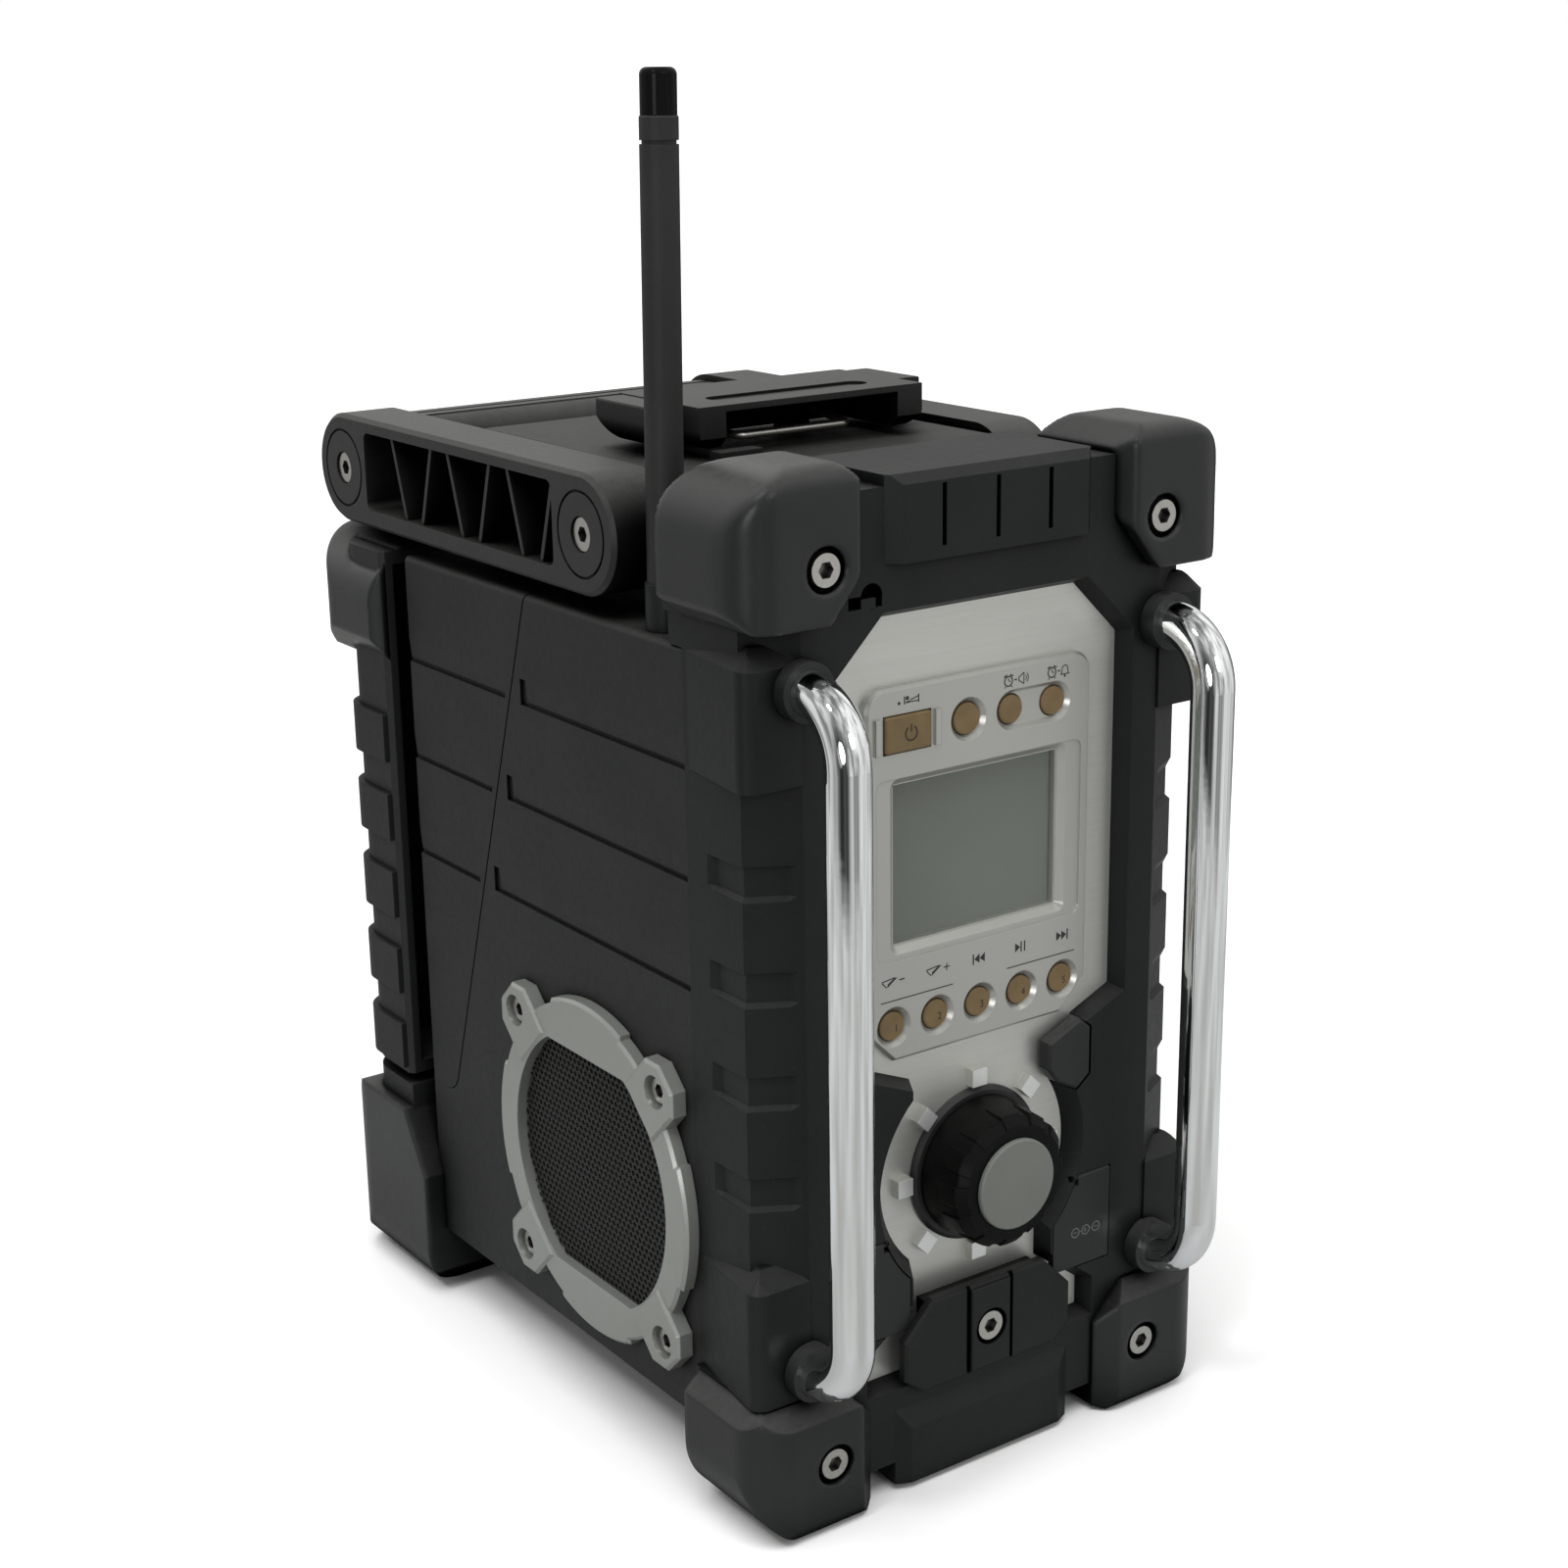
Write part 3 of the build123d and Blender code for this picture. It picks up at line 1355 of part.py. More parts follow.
seat_y = bumper_face + counterbore_depth + screw_head_height - screw_head_proud
with BuildPart() as front_screws:
    for points, seat in ((front_screws_xz, seat_y), ([(0, block_screw_z)], block_face + block_screw_seat)):
        with BuildSketch(facing(seat)):
            with Locations(*points):
                Circle(screw_head_radius)
        extrude(amount=screw_head_height - 0.5)
        with BuildSketch(facing(seat)):
            with Locations(*points):
                Circle(screw_shank_radius)
        extrude(amount=-(screw_length - (seat - bumper_face)))
        with BuildSketch(facing(seat - screw_head_height + 0.5)):
            with Locations(*points):
                RegularPolygon(socket_across / 2, 6, major_radius=False)
        extrude(amount=-socket_depth, mode=Mode.SUBTRACT)
save(front_screws.part, "front_screws")

# ---------------------------------------------------------------- front plate
# The brushed plate lies behind the frame's lip; the moulded bezel for the window and the
# buttons stands on it.
button_sites = [((i - (preset_count - 1) / 2) * preset_pitch, preset_z) for i in range(preset_count)]
round_sites = [(x, z, preset_radius) for x, z in button_sites]
round_sites += [(source_x, upper_row_z, source_radius)]
round_sites += [(x, upper_row_z, alarm_radius) for x in alarm_xs]
menu_center = (30.5, 115.5)
plate_edge = frame_pocket_half - gap
with BuildPart() as front_panel:
    with BuildSketch(facing(panel_face)):
        with Locations((0, (frame_pocket_bottom + frame_pocket_top) / 2)):
            Rectangle(2 * plate_edge, frame_pocket_top - frame_pocket_bottom - 2 * gap)
        with Locations((0, (window_bottom + window_top) / 2)):
            Rectangle(2 * window_half, window_top - window_bottom, mode=Mode.SUBTRACT)
        for x, z, radius in round_sites:
            with Locations((x, z)):
                Circle(radius + gap, mode=Mode.SUBTRACT)
        with Locations((power_x, upper_row_z)):
            Rectangle(power_width + 2 * gap, power_height + 2 * gap, mode=Mode.SUBTRACT)
        with Locations((0, knob_z)):
            Circle(bushing_radius, mode=Mode.SUBTRACT)
        with Locations(menu_center):
            Circle(menu_stem_radius + gap, mode=Mode.SUBTRACT)
        with Locations((-jack_x, jack_z), (jack_x, jack_z)):
            Circle(jack_body_radius, mode=Mode.SUBTRACT)
        with Locations((0, block_screw_z)):
            Circle(screw_shank_radius, mode=Mode.SUBTRACT)
    extrude(amount=-panel_thickness)
    with BuildSketch(facing(panel_face)):
        for i in range(index_count):
            angle = radians(i * 360 / index_count)
            with Locations((index_radius * sin(angle), knob_z + index_radius * cos(angle))):
                Rectangle(index_size, index_size, rotation=-i * 360 / index_count)
    extrude(amount=panel_face - index_face)
save(front_panel.part, "front_panel")

with BuildPart() as button_bezel:
    with BuildSketch(facing(panel_face)) as bezel_front:
        with Locations((0, (bezel_bottom + bezel_top) / 2)):
            Rectangle(2 * bezel_half, bezel_top - bezel_bottom)
        for half in (-bezel_half, bezel_half):
            fillet(corner(bezel_front, (half, bezel_top)), bezel_corner)
            chamfer(corner(bezel_front, (half, bezel_bottom)), bezel_bevel)
    extrude(amount=panel_face - bezel_face)
    chamfer(button_bezel.faces().sort_by(Axis.Y)[0].outer_wire().edges(), 0.9)
    with BuildSketch(facing(bezel_face)):
        with Locations((0, (ledge_bottom + ledge_top) / 2)):
            RectangleRounded(2 * ledge_half, ledge_top - ledge_bottom, 2.5)
    extrude(amount=-ledge_depth, mode=Mode.SUBTRACT)
    window_depth = panel_face - bezel_face - ledge_depth
    with BuildSketch(facing(bezel_face + ledge_depth)):
        with Locations((0, (window_bottom + window_top) / 2)):
            RectangleRounded(
                2 * (window_half + rim_width), window_top - window_bottom + 2 * rim_width, 2.6
            )
    extrude(amount=-window_depth, taper=rim_slope, mode=Mode.SUBTRACT)
    with BuildSketch(facing(bezel_face)):
        for x, z, radius in round_sites:
            with Locations((x, z)):
                Circle(radius + gap)
        with Locations((power_x, upper_row_z)):
            Rectangle(power_width + 2 * gap, power_height + 2 * gap)
    extrude(amount=-(panel_face - bezel_face), mode=Mode.SUBTRACT)
    with BuildSketch(facing(bezel_face)):
        for x, z, radius in round_sites[:preset_count + 1]:
            with Locations((x, z)):
                Circle(radius + dish_margin)
        with Locations((sum(alarm_xs) / 2, upper_row_z)):
            SlotCenterToCenter(alarm_xs[1] - alarm_xs[0], 2 * (alarm_radius + dish_margin))
    extrude(amount=-dish_depth, taper=dish_slope, mode=Mode.SUBTRACT)
    with BuildSketch(facing(bezel_face)):
        for side in (-1, 1):
            bar_offset = power_width / 2 + gap + 1 + power_bar_width / 2
            with Locations((power_x + side * bar_offset, upper_row_z)):
                Rectangle(power_bar_width, power_height)
    extrude(amount=0.8)
save(button_bezel.part, "button_bezel")

panel_back = panel_face + panel_thickness
with BuildPart() as display_lens:
    with BuildSketch(facing(panel_back)):
        with Locations((0, (window_bottom + window_top) / 2)):
            Rectangle(2 * window_half, window_top - window_bottom)
    extrude(amount=lens_thickness)
save(display_lens.part, "display_lens")

with BuildPart() as display_module:
    with BuildSketch(facing(panel_back)):
        with Locations((0, (window_bottom + window_top) / 2)):
            Rectangle(2 * module_half, window_top - window_bottom + module_margin)
    extrude(amount=-(board_front - panel_back))
save(display_module.part, "display_module")

switch_front = button_rear + button_travel + 0.1
with BuildPart() as circuit_board:
    with BuildSketch(facing(board_front)):
        with Locations((0, (board_bottom + board_top) / 2)):
            Rectangle(2 * board_half, board_top - board_bottom)
        with Locations((-jack_x, jack_z), (jack_x, jack_z)):
            Circle(jack_body_radius + gap, mode=Mode.SUBTRACT)
    extrude(amount=-board_thickness)
    with BuildSketch(facing(board_front)):
        for x, z, _ in round_sites:
            with Locations((x, z)):
                Circle(2.2)
        with Locations((power_x, upper_row_z), menu_center):
            Circle(2.2)
    extrude(amount=board_front - switch_front)
    with BuildSketch(facing(board_front + board_thickness)):
        for x, z, width, height in ((-20, 190, 22, 16), (16, 180, 14, 14), (0, 120, 30, 20)):
            with Locations((x, z)):
                Rectangle(width, height)
    extrude(amount=-3)
save(circuit_board.part, "circuit_board")

# ---------------------------------------------------------------- tuning knob
with BuildPart() as encoder:
    with BuildSketch(facing(board_front)):
        with Locations((0, knob_z)):
            Rectangle(15, 15)
    extrude(amount=board_front - panel_back)
    with BuildSketch(facing(panel_back)):
        with Locations((0, knob_z)):
            Circle(bushing_radius)
    extrude(amount=4)
    with BuildSketch(facing(board_front - 1)):
        with Locations((0, knob_z)):
            Circle(shaft_radius + running)
    extrude(amount=20, mode=Mode.SUBTRACT)
save(encoder.part, "encoder")

with BuildPart() as dial_ring:
    with BuildSketch(facing(panel_face)):
        with Locations((0, knob_z)):
            Circle(dial_ring_radius)
            Circle(dial_ring_bore, mode=Mode.SUBTRACT)
    extrude(amount=panel_face - dial_ring_face)
    chamfer(dial_ring.faces().sort_by(Axis.Y)[0].edges().sort_by(SortBy.LENGTH)[-1], 1)
save(dial_ring.part, "dial_ring")

with BuildPart() as knob_pads:
    with BuildSketch(Plane.XY.offset(knob_z)):
        Polygon(
            (cap_radius + 1, knob_face),
            (knob_radius - knob_bevel + pad_proud, knob_face),
            (knob_radius + pad_proud, knob_face + knob_bevel),
            (knob_radius + 1.5 * pad_proud, knob_rear - pad_rear),
            (cap_radius + 1, knob_rear - pad_rear),
            align=None,
        )
    revolve(axis=knob_axis)
    with BuildSketch(facing(knob_rear)):
        for i in range(pad_count):
            turn = i * 360 / pad_count
            middle = knob_skirt_radius - pad_length / 2 + pad_proud
            with Locations((middle * sin(radians(turn)), knob_z + middle * cos(radians(turn)))):
                Rectangle(pad_width, pad_length, rotation=-turn)
    extrude(amount=knob_rear - knob_face + 1, mode=Mode.INTERSECT)

with BuildPart() as tuning_knob:
    with BuildSketch(Plane.XY.offset(knob_z)):
        Polygon(
            (dial_ring_bore + 1, knob_rear),
            (knob_skirt_radius, knob_rear),
            (knob_radius + 0.8, knob_rear - 6),
            (knob_radius, knob_face + knob_bevel),
            (knob_radius - knob_bevel, knob_face),
            (cap_radius, knob_face),
            (cap_radius, knob_face + cap_seat),
            (shaft_radius, knob_face + cap_seat),
            (shaft_radius, knob_rear - cap_seat),
            (dial_ring_bore + 1, knob_rear - cap_seat),
            align=None,
        )
    revolve(axis=knob_axis)
    add(knob_pads.part)
save(tuning_knob.part, "tuning_knob")

with BuildPart() as knob_shaft:
    with BuildSketch(facing(board_front - 1 - gap)):
        with Locations((0, knob_z)):
            Circle(shaft_radius)
    extrude(amount=board_front - 1 - gap - knob_face - 2.5)
save(knob_shaft.part, "knob_shaft")

with BuildPart() as knob_cap:
    with BuildSketch(facing(knob_face + cap_seat)):
        with Locations((0, knob_z)):
            Circle(cap_radius)
    extrude(amount=knob_face + cap_seat - cap_face)
    fillet(knob_cap.faces().sort_by(Axis.Y)[0].edges(), 0.6)
save(knob_cap.part, "knob_cap")

# ---------------------------------------------------------------- buttons


def round_button(x, z, radius):
    """A round key whose stem reaches back to its switch."""
    with BuildPart() as button:
        with BuildSketch(facing(button_rear)):
            with Locations((x, z)):
                Circle(radius)
        extrude(amount=button_rear - round_button_face)
        fillet(button.faces().sort_by(Axis.Y)[0].edges(), 0.5)
    return button.part


for i, (x, z) in enumerate(button_sites, start=1):
    save(round_button(x, z, preset_radius), f"preset_button_{i}")
save(round_button(source_x, upper_row_z, source_radius), "source_button")
save(round_button(alarm_xs[0], upper_row_z, alarm_radius), "alarm_button_radio")
save(round_button(alarm_xs[1], upper_row_z, alarm_radius), "alarm_button_buzzer")

with BuildPart() as power_button:
    with BuildSketch(facing(button_rear)):
        with Locations((power_x, upper_row_z)):
            RectangleRounded(power_width, power_height, 0.8)
    extrude(amount=button_rear - power_button_face)
    chamfer(power_button.faces().sort_by(Axis.Y)[0].edges(), 0.4)
save(power_button.part, "power_button")

with BuildPart() as menu_button:
    with BuildSketch(facing(panel_face - 1.3)) as menu_shape:
        Polygon(*menu_outline(panel_neck_half + gap), align=None)
    extrude(amount=panel_face - 1.3 - menu_face)
    chamfer(menu_button.faces().sort_by(Axis.Y)[0].edges(), 0.8)
    with BuildSketch(facing(button_rear)):
        with Locations(menu_center):
            Circle(menu_stem_radius)
    extrude(amount=button_rear - panel_face + 2)
save(menu_button.part, "menu_button")

# ---------------------------------------------------------------- jack covers and jacks
cover_y = frame_face + cover_thickness / 2
cover_inner_end = (cover_arc_radius**2 - (knob_z - cover_axis_z - cover_thickness) ** 2) ** 0.5
cover_neck = cover_axis_z - cover_thickness
for side, name in ((-1, "aux_cover"), (1, "dc_cover")):
    with BuildPart() as cover:
        with BuildSketch(facing(frame_face + cover_thickness)):
            with Locations((side * (cover_inner_x + cover_outer_x) / 2, (cover_bottom + cover_neck) / 2)):
                Rectangle(cover_outer_x - cover_inner_x, cover_neck - cover_bottom)
            with Locations((0, knob_z)):
                Circle(cover_arc_radius, mode=Mode.SUBTRACT)
            with Locations((side * (cover_inner_end + cover_outer_x) / 2, (cover_neck + cover_axis_z) / 2)):
                Rectangle(cover_outer_x - cover_inner_end, cover_axis_z - cover_neck)
        extrude(amount=cover_thickness)
        with BuildSketch(across(side * cover_inner_end)):
            with Locations((cover_y, cover_axis_z)):
                Circle(cover_thickness / 2)
        extrude(amount=side * (cover_outer_x - cover_inner_end))
        with BuildSketch(across(side * (cover_inner_end - cover_pin_length))):
            with Locations((cover_y, cover_axis_z)):
                Circle(cover_pin_radius)
        extrude(amount=side * (cover_outer_x - cover_inner_end + 2 * cover_pin_length))
    save(cover.part, name)

jack_front = recess_floor
with BuildPart() as jack_sockets:
    for x, bore in ((-jack_x, aux_bore_radius), (jack_x, dc_bore_radius)):
        with BuildSketch(facing(jack_front + jack_depth + 2)):
            with Locations((x, jack_z)):
                Circle(jack_body_radius)
        extrude(amount=jack_depth + 2)
        with BuildSketch(facing(jack_front + jack_depth)):
            with Locations((x, jack_z)):
                Circle(bore)
        extrude(amount=jack_depth, mode=Mode.SUBTRACT)
    with BuildSketch(facing(jack_front + jack_depth)):
        with Locations((jack_x, jack_z)):
            Circle(dc_tip_radius)
    extrude(amount=jack_depth - 2)
save(jack_sockets.part, "jack_sockets")

# ---------------------------------------------------------------- guard block
with BuildPart() as guard_block:
    with BuildSketch(facing(frame_face)) as block_front:
        Polygon(
            (-block_top_half, block_top),
            (block_top_half, block_top),
            (block_half, block_shoulder_z),
            (block_half, block_low_z),
            (block_bottom_half, block_bottom),
            (-block_bottom_half, block_bottom),
            (-block_half, block_low_z),
            (-block_half, block_shoulder_z),
            align=None,
        )
    extrude(amount=frame_face - block_face)
    chamfer(guard_block.faces().sort_by(Axis.Y)[0].edges(), 0.8)
    for x in (-block_groove_x, block_groove_x):
        with BuildSketch(facing(block_face)):
            with Locations((x, (block_top + block_bottom) / 2)):
                Rectangle(block_groove_width, block_top - block_bottom)
        extrude(amount=-1.2, mode=Mode.SUBTRACT)
    with BuildSketch(facing(block_face)):
        with Locations((0, (block_top + block_bottom) / 2)):
            Rectangle(2 * block_groove_x - block_groove_width, block_top - block_bottom - 2)
    extrude(amount=pillar_proud)
    chamfer(guard_block.faces().sort_by(Axis.Y)[0].edges(), pillar_proud / 2)
    with BuildSketch(facing(panel_face)):
        with Locations((0, (panel_bottom + block_top - 2) / 2)):
            Rectangle(2 * block_top_half, block_top - 2 - panel_bottom)
    extrude(amount=panel_face - frame_face)
    with BuildSketch(facing(block_face - pillar_proud)):
        with Locations((0, block_screw_z)):
            Circle(screw_head_radius + 1.2)
    extrude(amount=-pillar_proud - block_screw_seat, mode=Mode.SUBTRACT)
    with BuildSketch(facing(block_face)):
        with Locations((0, block_screw_z)):
            Circle(screw_shank_radius)
    extrude(amount=-10, mode=Mode.SUBTRACT)
save(guard_block.part, "guard_block")

# ---------------------------------------------------------------- guard bars
with BuildPart() as guard_bar:
    with BuildLine() as bar_path:
        FilletPolyline(
            (bar_x, frame_face + bar_socket_depth, bar_upper_z),
            (bar_x, bar_y, bar_upper_z),
            (bar_x, bar_y, bar_lower_z),
            (bar_x, frame_face + bar_socket_depth, bar_lower_z),
            radius=bar_bend,
        )
    with BuildSketch(Plane(origin=bar_path.line @ 0, z_dir=bar_path.line % 0)):
        Circle(bar_radius)
    sweep()
save_pair(guard_bar.part, "guard_bar")

with BuildPart() as bar_collars:
    with BuildSketch(facing(frame_face)):
        with Locations(*[(x, z) for x in (-bar_x, bar_x) for z in (bar_lower_z, bar_upper_z)]):
            Circle(collar_radius)
            Circle(bar_radius, mode=Mode.SUBTRACT)
    extrude(amount=collar_length)
save(bar_collars.part, "bar_collars")

# ---------------------------------------------------------------- speakers
speaker_axis = Axis((0, speaker_y, speaker_z), (1, 0, 0))
lug_sites = [
    (speaker_y + sy * lug_offset, speaker_z + sz * lug_offset) for sy in (-1, 1) for sz in (-1, 1)
]
ring_bevel = 0.9
lobe_width = 2 * ring_radius * sin(radians(ring_lobe_arc))
with BuildPart() as speaker_ring:
    with BuildSketch(across(housing_half), mode=Mode.PRIVATE) as ring_outline:
        with Locations((speaker_y, speaker_z)):
            Rectangle(2 * ring_radius + 4 * ring_lobe, lobe_width)
            Rectangle(lobe_width, 2 * ring_radius + 4 * ring_lobe)
            Circle(ring_radius + ring_lobe, mode=Mode.INTERSECT)
            Circle(ring_radius)
    with BuildSketch(across(housing_half), mode=Mode.PRIVATE) as lug_outline:
        with Locations((speaker_y, speaker_z)):
            with PolarLocations(0, 4, start_angle=45):
                Polygon(
                    (mesh_radius, -lug_width / 2),
                    (lug_end_radius - lug_end_chamfer, -lug_width / 2),
                    (lug_end_radius, lug_end_chamfer - lug_width / 2),
                    (lug_end_radius, lug_width / 2 - lug_end_chamfer),
                    (lug_end_radius - lug_end_chamfer, lug_width / 2),
                    (mesh_radius, lug_width / 2),
                    align=None,
                )
    for outline, height in ((ring_outline, ring_height), (lug_outline, lug_height)):
        straight = height - ring_bevel
        extrude(outline.sketch, amount=straight)
        extrude(outline.sketch.moved(Location((straight, 0, 0))), amount=ring_bevel, taper=45)
    with BuildSketch(across(housing_half)) as mesh_hole:
        with Locations((speaker_y, speaker_z)):
            Circle(mesh_radius)
            Rectangle(2 * mesh_radius, 2 * mesh_chord, mode=Mode.INTERSECT)
    extrude(amount=lug_height, mode=Mode.SUBTRACT)
    with BuildSketch(across(housing_half)):
        with Locations(*lug_sites):
            Circle(speaker_counterbore_radius)
    extrude(amount=lug_height, mode=Mode.SUBTRACT)
    with BuildSketch(across(housing_half)):
        with Locations(*lug_sites):
            Circle(speaker_counterbore_radius)
            Circle(screw_shank_radius, mode=Mode.SUBTRACT)
    extrude(amount=1.2)
save_pair(speaker_ring.part, "speaker_ring")

with BuildPart() as speaker_mesh:
    extrude(mesh_hole.sketch, amount=mesh_thickness)
save_pair(speaker_mesh.part, "speaker_mesh")

with BuildPart() as speaker_driver:
    with BuildSketch(Plane.XZ.offset(-speaker_y)):
        with Locations((0, speaker_z)):
            Polygon(
                (wall_inner, cone_radius - 2),
                (wall_inner, driver_flange_radius),
                (wall_inner - 3, driver_flange_radius),
                (wall_inner - 3, cone_radius + 1),
                (wall_inner - driver_depth + magnet_length, magnet_radius),
                (wall_inner - driver_depth, magnet_radius),
                (wall_inner - driver_depth, 0),
                (wall_inner - 12, 0),
                (wall_inner - 9, 10),
                (wall_inner - 14, 12),
                (wall_inner - 1, cone_radius - 4),
                align=None,
            )
    revolve(axis=speaker_axis)
save_pair(speaker_driver.part, "speaker_driver")

with BuildPart() as speaker_screws:
    for side in (-1, 1):
        head_x = side * (housing_half + 1.2)
        with BuildSketch(across(head_x)):
            with Locations(*lug_sites):
                Circle(speaker_screw_head_radius)
        extrude(amount=side * 2)
        with BuildSketch(across(head_x)):
            with Locations(*lug_sites):
                Circle(screw_shank_radius)
        extrude(amount=-side * (1.2 + housing_wall))
        with BuildSketch(across(head_x + side * 2)):
            with Locations(*lug_sites):
                RegularPolygon(socket_across / 2 - 0.2, 6, major_radius=False)
        extrude(amount=-side * 1.4, mode=Mode.SUBTRACT)
save(speaker_screws.part, "speaker_screws")
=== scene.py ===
from math import cos, pi, radians, sin

import bmesh
import bpy
from mathutils import Matrix, Vector


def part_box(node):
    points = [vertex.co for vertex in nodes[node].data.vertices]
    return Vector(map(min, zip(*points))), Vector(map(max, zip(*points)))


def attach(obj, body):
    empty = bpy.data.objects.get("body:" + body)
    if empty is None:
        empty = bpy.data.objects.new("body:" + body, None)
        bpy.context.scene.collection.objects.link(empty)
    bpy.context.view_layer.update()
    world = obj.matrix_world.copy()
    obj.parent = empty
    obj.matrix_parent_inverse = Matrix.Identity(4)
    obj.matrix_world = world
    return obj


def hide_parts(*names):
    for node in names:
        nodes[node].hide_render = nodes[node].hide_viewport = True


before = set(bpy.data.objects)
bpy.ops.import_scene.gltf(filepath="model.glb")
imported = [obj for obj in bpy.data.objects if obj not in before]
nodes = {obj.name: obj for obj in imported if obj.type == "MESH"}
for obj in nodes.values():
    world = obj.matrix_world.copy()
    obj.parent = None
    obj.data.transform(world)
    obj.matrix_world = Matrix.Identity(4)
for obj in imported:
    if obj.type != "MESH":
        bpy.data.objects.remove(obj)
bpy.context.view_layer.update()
mm = 0.001


# ---- Housing ------------------------------------------------------------------------
# The tub, the battery box, its door and the raised deck are moulded in one charcoal
# plastic with a fine eroded grain. Dust and a painted sheen lie on what faces up, with specks
# all over, and painted shade blackens the gaps and pockets.


class Channel:
    """One output of a material's nodes. Arithmetic on it adds Math nodes."""

    def __init__(self, tree, socket=None):
        self.tree = tree
        self.socket = socket

    def node(self, kind, settings=None, sockets=None, output=0):
        """Adds a node with its settings first, then the values or links of its sockets."""
        made = self.tree.nodes.new(kind)
        for name, value in (settings or {}).items():
            setattr(made, name, value)
        for name, value in (sockets or {}).items():
            if isinstance(value, Channel):
                self.tree.links.new(value.socket, made.inputs[name])
            else:
                made.inputs[name].default_value = value
        return Channel(self.tree, made.outputs[output])

    def math(self, operation, first, second=0.0):
        return self.node("ShaderNodeMath", {"operation": operation}, {0: first, 1: second})

    def __add__(self, other):
        return self.math("ADD", self, other)

    __radd__ = __add__

    def __mul__(self, other):
        return self.math("MULTIPLY", self, other)

    __rmul__ = __mul__

    def __sub__(self, other):
        return self.math("SUBTRACT", self, other)

    def __rsub__(self, other):
        return self.math("SUBTRACT", other, self)

    def clipped(self, low, high):
        """This channel spread so that low becomes 0 and high becomes 1."""
        return self.node(
            "ShaderNodeMapRange", {"clamp": True}, {"Value": self, "From Min": low, "From Max": high}
        )

    def between(self, first, second):
        """A colour between two colours, by this channel."""
        return self.node(
            "ShaderNodeMix", {"data_type": "RGBA"}, {0: self, 6: first, 7: second}, output=2
        )


class Finish:
    """A procedural finish on one Principled shader, with edges worn round by a small radius."""

    def __init__(self, name, edge=0.4, **constants):
        self.material = bpy.data.materials.new(name)
        self.material.use_nodes = True
        tree = self.material.node_tree
        self.shader = tree.nodes["Principled BSDF"]
        self.start = Channel(tree)
        self.edge = edge
        for name, value in constants.items():
            self.shader.inputs[name.replace("_", " ")].default_value = value

    def place(self, scale=(1, 1, 1)):
        """Object coordinates in millimetres, stretched by scale."""
        where = self.start.node("ShaderNodeTexCoord", output=3)
        size = tuple(s / mm for s in scale)
        return self.start.node("ShaderNodeMapping", None, {"Vector": where, "Scale": size})

    def noise(self, scale, detail=2.0, stretch=(1, 1, 1), rough=0.5):
        return self.start.node(
            "ShaderNodeTexNoise",
            None,
            {"Vector": self.place(stretch), "Scale": scale, "Detail": detail, "Roughness": rough},
        )

    def along(self, axis):
        """Place along one axis, in millimetres."""
        return self.start.node("ShaderNodeSeparateXYZ", None, {0: self.place()}, "XYZ".index(axis))

    def facing_up(self):
        """1 where the surface faces up, 0 where it stands or faces down."""
        normal = self.start.node("ShaderNodeNewGeometry", output=1)
        split = self.start.node("ShaderNodeSeparateXYZ", None, {0: normal}, output=2)
        return split.clipped(0.2, 0.95)

    def crevice(self, reach, local=True):
        """1 in the open, towards 0 deep in a socket or a corner, looking reach millimetres out."""
        settings = {"samples": 6, "only_local": local}
        return self.start.node("ShaderNodeAmbientOcclusion", settings, {"Distance": reach * mm}, 1)

    def feed(self, name, channel):
        self.start.tree.links.new(channel.socket, self.shader.inputs[name])

    def bump(self, height, depth):
        """Raises the surface by height times depth, in millimetres, over the rounded edges."""
        sockets = {"Height": height, "Distance": depth * mm, "Strength": 1.0}
        if self.edge:
            broad_edge = self.edge > 1
            settings = {"samples": 8 if broad_edge else 4}
            sockets["Normal"] = self.start.node("ShaderNodeBevel", settings, {"Radius": self.edge * mm})
        self.feed("Normal", self.start.node("ShaderNodeBump", None, sockets))

    def blacken(self, share):
        """Painted shade: blends into an unlit black, so that where share is 1 no light comes back."""
        unlit = self.start.node(
            "ShaderNodeBsdfPrincipled", None,
            {"Base Color": (0.0006, 0.0006, 0.0006, 1), "Roughness": 1.0, "Specular IOR Level": 0.0},
        )
        blend = self.start.node("ShaderNodeMixShader", None, {0: share, 2: unlit})
        tree = self.start.tree
        tree.links.new(self.shader.outputs[0], blend.socket.node.inputs[1])
        tree.links.new(blend.socket, tree.nodes["Material Output"].inputs["Surface"])

    def on(self, *names):
        """Gives this finish to CAD nodes."""
        for name in names:
            data = nodes[name].data
            data.materials.clear()
            data.materials.append(self.material)


dust_and_sheen_grey = (0.17, 0.17, 0.16, 1)


